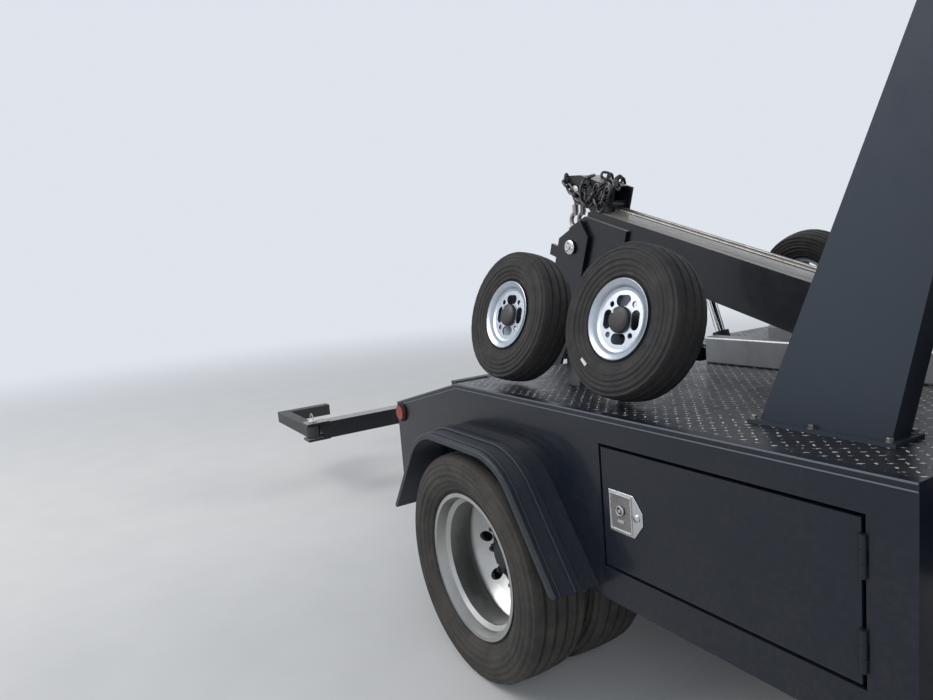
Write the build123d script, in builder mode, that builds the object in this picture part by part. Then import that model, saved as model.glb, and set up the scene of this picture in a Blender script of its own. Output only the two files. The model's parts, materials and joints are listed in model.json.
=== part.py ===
from build123d import *
from math import asin, atan2, cos, degrees, hypot, radians, sin, sqrt
import os

# A light-duty tow truck: a two-door cab and chassis that carries a steel deck with side
# toolboxes, a telescoping boom, an underlift on a mast, and two pairs of stowed dolly wheels.
# Millimetres, +X to the front, +Y to the driver's left, +Z up. Every X below is measured
# from the rear axle, and save() moves each piece so that the origin lies on the ground
# under the middle of the truck's whole length.

os.makedirs("parts", exist_ok=True)

# Chassis
wheelbase = 3683
front_overhang = 973
cross_tube_radius = 40
rail_half = 432
rail_top = 760
rail_height = 200
rail_flange = 70
rail_wall = 9
fit_gap = 0.3
move_gap = 6
pad_length = 60

# Road wheels
tyre_radius = 405
tyre_width = 226
bead_radius = 248
bead_half = 80
bead_rise = 16
rim_lip_radius = 260
rim_half = 86
rim_mount = 133
hub_bore_radius = 45
front_wheel_y = 900
dual_y = 935
kingpin_y = 770

# Deck body
body_half = 1030
deck_top = 1018
deck_thick = 18
deck_break_x = -213
body_rear_x = -757
body_rear_top = 877
body_rear_low = 520
cab_gap = 141
body_bottom = 470
body_wall = 22
marker_radius = 32
tail_lamp_length = 165
tail_lamp_height = 58
tunnel_half = 190
tunnel_setback = 650
box_rear_x = 549
box_inner_y = 575
door_rear_margin = 30
door_front_margin = 105
door_low = 578
door_high = 924
toolbox_door_thick = 24

# Fender flares
arch_top = 829
arch_top_half = 250
arch_foot_half = 505
arch_foot = 470
arch_radius = 200
flare_reach = 135
flare_rim = 25
flare_bead_y = 45
flare_bead = 7
flare_inner = 14
flare_lip = 33
flare_root = 44

# Pylons and light bar
pylon_y = 840
pylon_thick = 75
pylon_setback = 149
pylon_foot = 315
pylon_top = 2060
pylon_rear_slope = 0.42
pylon_front_slope = 0.225
pylon_foot_edge = 20
pylon_foot_thick = 10
light_bar_half = 780
light_bar_height = 95
light_bar_depth = 280
light_bar_corner = 90

# Boom, head and mast
boom_setback = 549
boom_pivot_z = 1122
boom_angle = 18.1
boom_half = 95
boom_wall = 10
boom_length = 1430
inner_half = 78
inner_show = 40
inner_tail = 160
sheave_radius = 55
sheave_lead = 160
sheave_t = 152
sheave_y = 24
sheave_flange = 11
roller_radius = 16
head_front = 86
head_half = 62
head_cheek = 12
hook_radius = 34
hook_bar = 11
hook_drop = 60
rope_radius = 6
winch_s = 120
winch_t = 172
drum_radius = 48
pin_lead = 57
pin_t = -92.5
mast_lean = 0.357
mast_plate = 16
mast_out_y = 134
mast_top_half = 100
mast_peak = 135
mast_lug = 50
mast_low_half = 62
link_drop = 560
link_half = 32
link_width = 46
arm_pivot_drop = 1128
pin_radius = 22
stub_radius = 26

# Underlift
arm_half = 62
arm_length = 880
arm_wall = 9
stinger_half = 47
crossbar_reach = 1470
crossbar_half_length = 840
crossbar_half = 55
claw_pin_y = 900
claw_length = 640
claw_leg = 300
claw_half = 38
yoke_gap = 26
yoke_plate = 16
yoke_half = 70

# Lift cylinders
cylinder_y = 146
cylinder_radius = 34
cylinder_setback = 670
cylinder_base_z = 600
cylinder_eye_s = 900
cylinder_eye_t = -118
cylinder_barrel = 510
lift_rod_radius = 20
eye_play = 9
eye_half = 16

# Stowed dollies
dolly_tyre_radius = 230
dolly_tyre_width = 132
dolly_bead_radius = 104
dolly_rim_lip = 119
dolly_lean = 16
dolly_setback = 393
dolly_spacing = 560
dolly_y = 872
dolly_z = 1258
dolly_beam_offset = 112
dolly_hole_pitch = 75
dolly_oval = 30
dolly_oval_run = 14
dolly_small_hole = 8
axle_bar_height = 100
axle_bar_width = 62
axle_bar_y = 185
axle_bar_length = 1125
axle_bar_setback = 24

# Cab
axle_to_cab_back = 2123
axle_to_cab_front = 393
cab_half = 1010
cab_roof_half = 900
cab_belt = 1370
cab_roof = 2045
cab_low = 600
floor_low = 800
rocker_in = 760
cab_wall = 50
rear_lean = 40
screen_run = 680
roof_radius = 110
belt_radius = 260
sill_radius = 60
cowl_z = 1400
cab_door_length = 1110
cab_door_setback = 170
cab_door_low = 650
cab_door_high = 1935
mirror_setback = 100
panel_gap = 9
hinge_radius = 8
hinge_pin = 4
hinge_leaf = 30
hinge_out = 3
glass_thick = 6

# Nose
nose_overhang = 837
nose_taper = 240
nose_corner = 110
nose_plan_radius = 150
fender_radius = 70
hood_radius = 50
hood_bulge = 14
hood_bulge_half = 330
nose_top_front = 1285
nose_low = 640
nose_skin = 26
hood_half = 800
hood_lip = 30
hood_skin = 26
arch_lip = 38
arch_lip_out = 14
front_arch_radius = 480
steer_clearance = 45
grille_half = 540
grille_low = 770
grille_high = 1190
bumper_low = 490
bumper_high = 740
bumper_depth = 130
bumper_half = 990
bumper_sweep = 70
bumper_wall = 30
plate_pitch = 178
plate_hole = 3.5

# Places that follow from the sizes above
cab_back_x = wheelbase - axle_to_cab_back
cab_front_x = wheelbase - axle_to_cab_front
roof_rear_x = cab_back_x + rear_lean
header_x = cab_front_x - screen_run
cab_door_front_x = cab_front_x - cab_door_setback
cab_door_rear_x = cab_door_front_x - cab_door_length
mirror_x = cab_door_front_x - mirror_setback
nose_front_x = wheelbase + nose_overhang
hood_front_x = nose_front_x - hood_lip
body_front_x = cab_back_x - cab_gap
door_rear_x = box_rear_x + door_rear_margin
door_front_x = body_front_x - door_front_margin
flare_edge_y = body_half + flare_reach
flare_out_y = flare_edge_y + flare_rim
pylon_front_x = body_front_x - pylon_setback
pylon_rear_x = pylon_front_x - pylon_foot
dolly_front_x = pylon_rear_x - dolly_setback
boom_pivot_x = body_front_x - boom_setback
tunnel_front_x = boom_pivot_x - tunnel_setback
cylinder_base_x = boom_pivot_x - cylinder_setback
inner_reach = boom_length + inner_show
sheave_s = boom_length + sheave_lead
pin_s = boom_length + pin_lead
boom_cos = cos(radians(boom_angle))
boom_sin = sin(radians(boom_angle))
mast_pin_x = boom_pivot_x - pin_s * boom_cos + pin_t * boom_sin
mast_pin_z = boom_pivot_z + pin_s * boom_sin + pin_t * boom_cos
front_x = wheelbase + front_overhang
lean_length = sqrt(1 + mast_lean**2)
mast_dx = -mast_lean / lean_length
mast_dz = -1 / lean_length
link_pin_x = mast_pin_x + link_drop * mast_dx
link_pin_z = mast_pin_z + link_drop * mast_dz
link_foot_x = boom_pivot_x + link_drop * mast_dx
link_foot_z = boom_pivot_z + link_drop * mast_dz
arm_pivot_x = mast_pin_x + arm_pivot_drop * mast_dx
arm_pivot_z = mast_pin_z + arm_pivot_drop * mast_dz
crossbar_x = arm_pivot_x - crossbar_reach
rear_x = crossbar_x - claw_length - claw_half
origin_x = (front_x + rear_x) / 2
dolly_rear_x = dolly_front_x - dolly_spacing
axle_bar_front_x = body_front_x - axle_bar_setback


def save(piece, label):
    """Moves a finished piece into the truck's own frame and writes it."""
    placed = piece.part.moved(Location((-origin_x, 0, 0)))
    placed.label = label
    export_step(placed, f"parts/{label}.step")


def block(x, y, z, mode=Mode.ADD):
    """A box between two values on each axis."""
    with Locations(((x[0] + x[1]) / 2, (y[0] + y[1]) / 2, (z[0] + z[1]) / 2)):
        Box(x[1] - x[0], y[1] - y[0], z[1] - z[0], mode=mode)


def outline(points):
    """A closed face of straight sides in the current sketch."""
    with BuildLine() as border:
        Polyline(*points, close=True)
    make_face(border.edges())


def plate(points, y, thick, mode=Mode.ADD, radius=0):
    """An (x, z) outline at y, made thick towards -Y."""
    with BuildSketch(Plane.XZ.offset(-y)) as drawn:
        outline(points)
        if radius:
            fillet(drawn.vertices(), radius)
    extrude(drawn.sketch, amount=thick, mode=mode)


def cross_rod(x, z, y_low, y_high, radius, mode=Mode.ADD):
    """A round bar along Y."""
    with BuildSketch(Plane.XZ.offset(-y_high)) as drawn:
        with Locations((x, z)):
            Circle(radius)
    extrude(drawn.sketch, amount=y_high - y_low, mode=mode)


def rod_between(start, end, radius, mode=Mode.ADD):
    """A round bar from one point to another."""
    run = Vector(*end) - Vector(*start)
    with BuildSketch(Plane(origin=start, z_dir=run)) as drawn:
        Circle(radius)
    extrude(drawn.sketch, amount=run.length, mode=mode)


def boom_plane(y):
    """Sketch x runs back along the boom from its pivot, and sketch y is square to it, upward."""
    return Plane(
        origin=(boom_pivot_x, y, boom_pivot_z),
        x_dir=(-boom_cos, 0, boom_sin),
        z_dir=(0, 1, 0),
    )


def boom_point(s, t, y=0):
    """The point at s along the boom and t above its centreline."""
    return (
        boom_pivot_x - s * boom_cos + t * boom_sin,
        y,
        boom_pivot_z + s * boom_sin + t * boom_cos,
    )


def boom_slab(points, y_low, y_high, mode=Mode.ADD):
    """A plate with an (s, t) outline between two values of y."""
    with BuildSketch(boom_plane(y_low)) as drawn:
        outline(points)
    extrude(drawn.sketch, amount=y_high - y_low, mode=mode)


def upright_hinge(x, y, heights, moving):
    """Barrels of a hinge along Z at each height: a moving one between two fixed on the pin."""
    outer = 1.5 * hinge_leaf + fit_gap
    own, other = ((0,), (-1, 1)) if moving else ((-1, 1), (0,))
    pitch = hinge_leaf + fit_gap
    for z in heights:
        for place in other:
            with Locations((x, y, z + place * pitch)):
                Cylinder(hinge_radius + 2, hinge_leaf + fit_gap, mode=Mode.SUBTRACT)
        for place in own:
            with Locations((x, y, z + place * pitch)):
                Cylinder(hinge_radius, hinge_leaf - fit_gap)
        with Locations((x, y, z)):
            if moving:
                Cylinder(hinge_pin + fit_gap, 2 * outer, mode=Mode.SUBTRACT)
            else:
                Cylinder(hinge_pin, 2 * outer)


def wheel_plane(centre, side, lean=0):
    """Sketch x is a wheel's outward axis, and sketch y its radius. side is 1 left, -1 right."""
    outward = (0, side * cos(radians(lean)), sin(radians(lean)))
    return Plane(origin=centre, x_dir=outward, z_dir=(side, 0, 0))


def wheel_axis(centre, side, lean=0):
    return Axis(centre, (0, side * cos(radians(lean)), sin(radians(lean))))


def tyre_section(shift, radius, width, bead, bead_width):
    """Half-section of a tyre in (across, radial), moved across by shift."""
    half = width / 2
    middle = bead + 0.45 * (radius - bead)
    shoulder = radius - 0.07 * (radius - bead)
    with BuildLine() as border:
        Polyline(
            (shift - bead_width, bead + bead_rise), (shift - bead_width, bead),
            (shift + bead_width, bead), (shift + bead_width, bead + bead_rise),
        )
        ThreePointArc(
            (shift + bead_width, bead + bead_rise), (shift + half, middle),
            (shift + 0.88 * half, shoulder),
        )
        Line((shift + 0.88 * half, shoulder), (shift + 0.76 * half, radius))
        Line((shift + 0.76 * half, radius), (shift - 0.76 * half, radius))
        Line((shift - 0.76 * half, radius), (shift - 0.88 * half, shoulder))
        ThreePointArc(
            (shift - 0.88 * half, shoulder), (shift - half, middle),
            (shift - bead_width, bead + bead_rise),
        )
    make_face(border.edges())


def rim_section(shift, out):
    """Barrel and dished disc of a road wheel; out is 1 where the disc faces outward, -1 inward."""
    seat = bead_radius - fit_gap
    skin = 9
    well = 228
    lip = rim_lip_radius
    outline(
        [
            (shift + a, r)
            for a, r in (
                (rim_half, lip),
                (bead_half, lip),
                (bead_half, seat),
                (45, seat - 3),
                (34, well),
                (-34, well),
                (-45, seat - 3),
                (-bead_half, seat),
                (-bead_half, lip),
                (-rim_half, lip),
                (-rim_half, lip - 14),
                (-51, seat - 3 - skin),
                (-40, well - skin),
                (40, well - skin),
                (51, seat - 3 - skin),
                (rim_half, lip - 14),
            )
        ]
    )
    mount = rim_mount * out
    disc = 12 * out
    outline(
        [
            (shift + 56 * out, seat - 4),
            (shift + 98 * out, 200),
            (shift + mount - disc, 168),
            (shift + mount - disc, 60),
            (shift + mount, 60),
            (shift + mount, 172),
            (shift + 106 * out, 208),
            (shift + 70 * out, seat - 4),
        ]
    )


def hand_holes(centre, side, offset, count, pitch, radius):
    """Round holes through a wheel disc, centred offset outward from the wheel's middle."""
    plane = wheel_plane(centre, side)
    disc_plane = Plane(
        origin=plane.origin + plane.x_dir * (offset - 60), x_dir=(1, 0, 0), z_dir=plane.x_dir
    )
    with BuildSketch(disc_plane) as drawn:
        with PolarLocations(pitch, count):
            Circle(radius)
    extrude(drawn.sketch, amount=120, mode=Mode.SUBTRACT)


# Ladder frame with the deck's subframe on it
with BuildPart() as frame_rails:
    rail_rear_x = body_rear_x + 55
    rail_front_x = front_x - bumper_depth
    rail_low = rail_top - rail_height
    rail_mid = (rail_low + rail_top) / 2
    for side in (1, -1):
        y_out, y_in = side * rail_half, side * (rail_half - rail_flange)
        web = side * (rail_half - rail_wall)
        block((rail_rear_x, rail_front_x), sorted((web, y_out)), (rail_low, rail_top))
        for z in (rail_low, rail_top - rail_wall):
            block((rail_rear_x, rail_front_x), sorted((y_in, y_out)), (z, z + rail_wall))
        # The subframe rail lies on the chassis rail and carries the deck's cross bearers.
        block(
            (deck_break_x - 280, body_front_x - 30),
            sorted((side * (rail_half - 75), y_out)),
            (rail_top, deck_top - deck_thick - 80),
        )
    cross_half = rail_half - rail_wall
    for x in (body_front_x - 269, cab_back_x + 490, cab_back_x + 920, wheelbase + 567):
        cross_rod(x, rail_mid, -cross_half, cross_half, cross_tube_radius)
    bearer_low = deck_top - deck_thick - 80
    box_reach = box_inner_y - body_wall - fit_gap
    for x, inner, outer in (
        (deck_break_x + 43, tunnel_half, body_half - body_wall - 40),
        (box_rear_x - 149, 0, body_half - body_wall - 40),
        (boom_pivot_x, 0, box_reach),
        (body_front_x - 79, 0, box_reach),
    ):
        for side in (1, -1):
            y_pair = sorted((side * inner, side * outer))
            block((x - 30, x + 30), y_pair, (bearer_low, deck_top - deck_thick))
    # The link's foot turns on one pin, and the lift cylinders' feet on stubs from each rail.
    cross_rod(link_foot_x, link_foot_z, -cross_half, cross_half, pin_radius)
    for side in (1, -1):
        y_pair = sorted((side * (link_width / 2 + move_gap), side * cross_half))
        cross_rod(link_foot_x, link_foot_z, *y_pair, 34)
        y_pair = sorted((side * (cylinder_y - cylinder_radius - 4), side * cross_half))
        cross_rod(cylinder_base_x, cylinder_base_z, *y_pair, pin_radius)
        y_pair = sorted((side * (cylinder_y + cylinder_radius + move_gap), side * cross_half))
        cross_rod(cylinder_base_x, cylinder_base_z, *y_pair, 34)
save(frame_rails, "frame_rails")

# Front axle beam with its leaf springs
spring_y = 470
spring_half = 35
spring_length = 1300
beam_half = 40
boss_radius = 45
boss_half = 55
with BuildPart() as front_axle:
    block(
        (wheelbase - 35, wheelbase + 35), (-kingpin_y + 30, kingpin_y - 30),
        (tyre_radius - beam_half, tyre_radius + beam_half),
    )
    for side in (1, -1):
        with Locations((wheelbase, side * kingpin_y, tyre_radius)):
            Cylinder(boss_radius, 2 * boss_half)
            Cylinder(20 + fit_gap, 2 * boss_half, mode=Mode.SUBTRACT)
        spring = [
            (wheelbase - spring_length / 2, 548),
            (wheelbase - 90, tyre_radius + beam_half),
            (wheelbase + 90, tyre_radius + beam_half),
            (wheelbase + spring_length / 2, 548),
            (wheelbase + spring_length / 2, 566),
            (wheelbase + 80, tyre_radius + beam_half + 40),
            (wheelbase - 80, tyre_radius + beam_half + 40),
            (wheelbase - spring_length / 2, 566),
        ]
        plate(spring, side * spring_y + spring_half, 2 * spring_half)
        for end in (-1, 1):
            x = wheelbase + end * (spring_length / 2 - 20)
            y_pair = sorted((side * (spring_y - spring_half), side * (rail_half + fit_gap)))
            block((x - 30, x + 30), (side * spring_y - spring_half, side * spring_y + spring_half), (540, 640))
            block((x - 30, x + 30), y_pair, (600, 640))
save(front_axle, "front_axle")

# Rear axle: tubes, differential, spindles, leaf springs and the drive shaft
axle_tube = 60
bowl_radius = 150
rear_spring_y = 520
rear_spring_length = 1150
rear_spring_rear_x = body_rear_x + 90
spindle_end = dual_y - 10
gearbox_rear_x = cab_front_x - 690
with BuildPart() as rear_axle:
    cross_rod(0, tyre_radius, -dual_y + 145, dual_y - 145, axle_tube)
    cross_rod(0, tyre_radius, -spindle_end, spindle_end, hub_bore_radius)
    with Locations((0, 0, tyre_radius)):
        Sphere(bowl_radius)
    rod_between((100, 0, tyre_radius), (gearbox_rear_x - 15, 0, 560), 42)
    rod_between((gearbox_rear_x - 30, 0, 560), (gearbox_rear_x, 0, 560), 52)
    for side in (1, -1):
        spring = [
            (-rear_spring_length / 2, 590),
            (-100, tyre_radius + axle_tube - 5),
            (100, tyre_radius + axle_tube - 5),
            (rear_spring_length / 2, 590),
            (rear_spring_length / 2, 612),
            (90, tyre_radius + axle_tube + 55),
            (-90, tyre_radius + axle_tube + 55),
            (-rear_spring_length / 2, 612),
        ]
        plate(spring, side * rear_spring_y + spring_half, 2 * spring_half)
        for end in (-1, 1):
            x = end * (rear_spring_length / 2 - 22)
            block(
                (x - 30, x + 30),
                (side * rear_spring_y - spring_half, side * rear_spring_y + spring_half),
                (585, 690),
            )
            y_pair = sorted((side * (rear_spring_y - spring_half), side * (rail_half + fit_gap)))
            block((x - 30, x + 30), y_pair, (650, 690))
save(rear_axle, "rear_axle")

# Engine and gearbox as one plain mass
with BuildPart() as engine_block:
    block((cab_front_x + 100, wheelbase + 437), (-290, 290), (520, 1120))
    block((gearbox_rear_x, cab_front_x + 100), (-150, 150), (500, 740))
    for side in (1, -1):
        block((wheelbase - 83, wheelbase + 17), sorted((side * 290, side * (rail_half - rail_wall - fit_gap))), (600, 680))
save(engine_block, "engine_block")

# Road wheels, one side at a time
for side, name in ((1, "left"), (-1, "right")):
    dual = (0, side * dual_y, tyre_radius)
    with BuildPart() as rear_tyres:
        with BuildSketch(wheel_plane(dual, side)):
            tyre_section(rim_mount, tyre_radius, tyre_width, bead_radius, bead_half)
            tyre_section(-rim_mount, tyre_radius, tyre_width, bead_radius, bead_half)
        revolve(axis=wheel_axis(dual, side))
    save(rear_tyres, f"rear_tyres_{name}")

    with BuildPart() as rear_rims:
        with BuildSketch(wheel_plane(dual, side)):
            rim_section(rim_mount, -1)
            rim_section(-rim_mount, 1)
            # Hub and brake drum, bored for the axle's spindle.
            outline(
                [
                    (70, 0), (70, 62), (12, 84), (-12, 84), (-12, 190),
                    (-130, 190), (-130, hub_bore_radius + fit_gap),
                    (-5, hub_bore_radius + fit_gap), (-5, 0),
                ]
            )
        revolve(axis=wheel_axis(dual, side))
        hand_holes(dual, side, 0, 8, 190, 21)
    save(rear_rims, f"rear_rims_{name}")

    front = (wheelbase, side * front_wheel_y, tyre_radius)
    with BuildPart() as front_tyre:
        with BuildSketch(wheel_plane(front, side)):
            tyre_section(0, tyre_radius, tyre_width, bead_radius, bead_half)
        revolve(axis=wheel_axis(front, side))
    save(front_tyre, f"front_tyre_{name}")

    with BuildPart() as front_rim:
        with BuildSketch(wheel_plane(front, side)):
            rim_section(0, 1)
            outline(
                [
                    (rim_mount + 40, 0), (rim_mount + 40, 62), (rim_mount, 84), (0, 84), (0, 165),
                    (-55, 165), (-55, hub_bore_radius + fit_gap),
                    (rim_mount - 15, hub_bore_radius + fit_gap), (rim_mount - 15, 0),
                ]
            )
        revolve(axis=wheel_axis(front, side))
        hand_holes(front, side, rim_mount - 30, 8, 190, 21)
    save(front_rim, f"front_rim_{name}")

    # The knuckle turns on its kingpin in the beam's end and carries the wheel's spindle.
    with BuildPart() as knuckle:
        pin = (wheelbase, side * kingpin_y, tyre_radius)
        with Locations(pin):
            Cylinder(20, 2 * boss_half + 90)
        for z in (tyre_radius - boss_half - 40, tyre_radius + boss_half + move_gap):
            block(
                (wheelbase - 32, wheelbase + 32),
                sorted((side * (kingpin_y - 30), side * (kingpin_y + 68))),
                (z, z + 40 - move_gap),
            )
        block(
            (wheelbase - 40, wheelbase + 40),
            sorted((side * (kingpin_y + 51), side * (kingpin_y + 69))),
            (tyre_radius - boss_half - 40, tyre_radius + boss_half + 40),
        )
        y_pair = sorted((side * (kingpin_y + 55), side * (front_wheel_y + rim_mount - 25)))
        cross_rod(wheelbase, tyre_radius, *y_pair, hub_bore_radius)
    save(knuckle, f"knuckle_{name}")


# Deck body: hollow side boxes with wheel arches, and the tail panel that joins them
side_outline = [
    (body_rear_x, body_rear_low), (body_rear_x, body_rear_top), (deck_break_x, deck_top),
    (body_front_x, deck_top), (body_front_x, body_bottom), (box_rear_x, body_bottom),
    (arch_foot_half, body_bottom), (-arch_foot_half, body_rear_low),
]


def arch_outline(grow):
    """The wheel arch's opening, in (x, z), enlarged by grow."""
    run = arch_foot_half - arch_top_half
    rise = arch_top - arch_foot
    push = grow * hypot(run, rise) / rise
    shift = grow * run / rise
    reach = arch_foot_half + 400 * run / rise
    outline(
        [
            (-reach - push, arch_foot - 400),
            (-arch_top_half - push + shift, arch_top + grow),
            (arch_top_half + push - shift, arch_top + grow),
            (reach + push, arch_foot - 400),
        ]
    )
    fillet(vertices().sort_by(Axis.Y)[-2:], arch_radius + grow)


under_deck = deck_top - deck_thick - fit_gap
door_hinge_x = door_front_x + panel_gap / 2
door_hinge_heights = (door_low + 75, door_high - 75)
with BuildPart() as body_shell:
    plate(side_outline, -body_half + body_wall, body_wall)
    with BuildSketch(Plane.XZ.offset(body_half - 2 * body_wall)):
        arch_outline(0)
    extrude(amount=3 * body_wall, mode=Mode.SUBTRACT)
    y_box = (-body_half, -box_inner_y)
    for x in (box_rear_x, body_front_x - body_wall):
        block((x, x + body_wall), y_box, (body_bottom, under_deck))
    block((box_rear_x, body_front_x), y_box, (body_bottom, body_bottom + body_wall))
    block(
        (box_rear_x, body_front_x), (-box_inner_y - body_wall, -box_inner_y),
        (body_bottom, under_deck),
    )
    block(
        (door_rear_x - panel_gap, door_front_x + panel_gap),
        (-body_half - 1, -body_half + body_wall),
        (door_low - panel_gap, door_high + panel_gap),
        mode=Mode.SUBTRACT,
    )
    block(
        (body_rear_x, body_rear_x + body_wall), (-body_half, -tunnel_half),
        (body_rear_low, body_rear_top - deck_thick - 2),
    )
    upright_hinge(door_hinge_x, -body_half - hinge_out, door_hinge_heights, False)
    mirror(about=Plane.XZ)
    block(
        (body_rear_x, body_rear_x + 37), (-body_half + 5, body_half - 5),
        (body_rear_low, body_rear_low + 40),
    )
save(body_shell, "body_shell")

# Deck plate with its sloping tail and the slot that the boom's links move in
deck_outline = [
    (body_rear_x, body_rear_top), (deck_break_x, deck_top), (body_front_x, deck_top),
    (body_front_x, deck_top - deck_thick), (deck_break_x, deck_top - deck_thick),
    (body_rear_x, body_rear_top - deck_thick),
]
deck_half = body_half - body_wall - fit_gap
with BuildPart() as deck:
    plate(deck_outline, deck_half, 2 * deck_half)
    block(
        (body_rear_x - 10, tunnel_front_x), (-tunnel_half, tunnel_half), (700, 1200),
        mode=Mode.SUBTRACT,
    )
save(deck, "deck")

# Toolbox doors, each hinged along its front edge
for side, name in ((1, "left"), (-1, "right")):
    with BuildPart() as toolbox_door:
        block(
            (door_rear_x, door_front_x),
            sorted((side * (body_half - toolbox_door_thick), side * body_half)),
            (door_low, door_high),
        )
        upright_hinge(door_hinge_x, side * (body_half + hinge_out), door_hinge_heights, True)
    save(toolbox_door, f"toolbox_door_{name}")

# Fender flares over the dual wheels
with BuildPart() as fender_flares:
    for y, grow in ((body_half + fit_gap, flare_root), (flare_edge_y, flare_lip)):
        with BuildSketch(Plane.XZ.offset(y)):
            arch_outline(grow)
    loft()
    with BuildSketch(Plane.XZ.offset(flare_edge_y)):
        arch_outline(flare_lip)
    extrude(amount=flare_out_y - flare_edge_y)
    fillet(edges().group_by(Axis.Y)[0], flare_bead)
    with BuildSketch(Plane.XZ.offset(body_half + flare_bead_y)):
        arch_outline(flare_root + flare_bead - 4)
    extrude(amount=2 * flare_bead)
    with BuildSketch(Plane.XZ.offset(body_half - 10)):
        arch_outline(flare_inner)
    extrude(amount=flare_out_y - body_half + 20, mode=Mode.SUBTRACT)
    block(
        (-1200, 1200), (-flare_out_y - 5, -body_half + 20), (0, arch_foot + 27), mode=Mode.SUBTRACT
    )
    mirror(about=Plane.XZ)
save(fender_flares, "fender_flares")

# Pylons with the cross tube that the light bar stands on
with BuildPart() as pylons:
    rise = pylon_top - deck_top
    plate(
        [
            (pylon_rear_x, deck_top + fit_gap),
            (pylon_rear_x + pylon_rear_slope * rise, pylon_top),
            (pylon_front_x + pylon_front_slope * rise, pylon_top),
            (pylon_front_x, deck_top + fit_gap),
        ],
        -pylon_y + pylon_thick,
        pylon_thick,
    )
    block(
        (pylon_rear_x - pylon_foot_edge, pylon_front_x + pylon_foot_edge),
        (-pylon_y - pylon_foot_edge, -pylon_y + pylon_thick + pylon_foot_edge),
        (deck_top + fit_gap, deck_top + pylon_foot_thick),
    )
    mirror(about=Plane.XZ)
    bar_x = (pylon_rear_x + pylon_front_x + (pylon_rear_slope + pylon_front_slope) * rise) / 2
    block(
        (bar_x - 30, bar_x + 30), (-pylon_y + pylon_thick - 1, pylon_y - pylon_thick + 1),
        (pylon_top - 70, pylon_top - 10),
    )
save(pylons, "pylons")

with BuildPart() as light_bar:
    base = pylon_top + fit_gap
    with BuildSketch(Plane.XY.offset(base)):
        with Locations((bar_x, 0)):
            RectangleRounded(light_bar_depth, 2 * light_bar_half, light_bar_corner)
    extrude(amount=light_bar_height)
    fillet(light_bar.edges().group_by(Axis.Z)[-1], light_bar_height / 3)
save(light_bar, "light_bar")

# Boom foot: two cheeks on the deck with the boom's pin between them
with BuildPart() as boom_foot:
    cheek_in = boom_half + move_gap
    cheek = [
        (boom_pivot_x - 150, deck_top + fit_gap), (boom_pivot_x - 55, boom_pivot_z + 45),
        (boom_pivot_x + 55, boom_pivot_z + 45), (boom_pivot_x + 150, deck_top + fit_gap),
    ]
    plate(cheek, -cheek_in, 18)
    block(
        (boom_pivot_x - 170, boom_pivot_x + 170), (-cheek_in - 38, -cheek_in),
        (deck_top + fit_gap, deck_top + 14),
    )
    mirror(about=Plane.XZ)
    cross_rod(boom_pivot_x, boom_pivot_z, -cheek_in - 32, cheek_in + 32, stub_radius)
save(boom_foot, "boom_foot")

# Outer boom: square tube, cylinder lugs, and the bracket at its end that holds the mast
bracket_out = mast_out_y - mast_plate - move_gap
lug_out = boom_half + 11
with BuildPart() as boom_outer:
    with BuildSketch(boom_plane(-boom_half)):
        with BuildLine():
            Polyline((0, boom_half), (boom_length, boom_half), (boom_length, -boom_half), (0, -boom_half))
            ThreePointArc((0, -boom_half), (-boom_half, 0), (0, boom_half))
        make_face()
    extrude(amount=2 * boom_half)
    cavity = boom_half - boom_wall
    mouth_s = boom_length - pad_length
    pad = inner_half + fit_gap
    for start, end, half in ((60, mouth_s, cavity), (mouth_s - 1, boom_length + 5, pad)):
        boom_slab(
            [(start, half), (end, half), (end, -half), (start, -half)], -half, half,
            mode=Mode.SUBTRACT,
        )
    cross_rod(
        boom_pivot_x, boom_pivot_z, -boom_half - 1, boom_half + 1, stub_radius + fit_gap,
        mode=Mode.SUBTRACT,
    )
    for side in (1, -1):
        y_pair = sorted((side * (boom_half - 1), side * bracket_out))
        boom_slab(
            [
                (boom_length - 260, 60), (boom_length + 20, 62), (pin_s + 60, pin_t + 78),
                (pin_s + 62, pin_t - 62), (pin_s - 70, pin_t - 105), (boom_length - 260, -80),
            ],
            *y_pair,
        )
        y_pair = sorted((side * (boom_half - 1), side * lug_out))
        boom_slab(
            [
                (cylinder_eye_s - 90, -40), (cylinder_eye_s + 90, -40),
                (cylinder_eye_s + 42, cylinder_eye_t - 40), (cylinder_eye_s - 42, cylinder_eye_t - 40),
            ],
            *y_pair,
        )
        pin_x, _, pin_z = boom_point(pin_s, pin_t)
        y_pair = sorted((side * (boom_half - 1), side * (mast_out_y + 8)))
        cross_rod(pin_x, pin_z, *y_pair, stub_radius)
    eye_x, _, eye_z = boom_point(cylinder_eye_s, cylinder_eye_t)
    cross_rod(eye_x, eye_z, -cylinder_y - 24, cylinder_y + 24, pin_radius)
save(boom_outer, "boom_outer")

# Winches on the foot of the boom, and the ropes that run from them to the head
with BuildPart() as winches:
    boom_slab(
        [(winch_s - 95, boom_half + fit_gap), (winch_s + 95, boom_half + fit_gap),
         (winch_s + 95, boom_half + 10), (winch_s - 95, boom_half + 10)],
        -boom_half, boom_half,
    )
    for y in (-boom_half, -8, boom_half - 16):
        boom_slab(
            [
                (winch_s - 70, boom_half + 8), (winch_s + 70, boom_half + 8), (winch_s + 60, winch_t + 40),
                (winch_s + 20, winch_t + 66), (winch_s - 20, winch_t + 66),
                (winch_s - 60, winch_t + 40),
            ],
            y, y + 16,
        )
    drum_x, _, drum_z = boom_point(winch_s, winch_t)
    cross_rod(drum_x, drum_z, -boom_half + 1, boom_half - 1, drum_radius)
save(winches, "winches")

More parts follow.
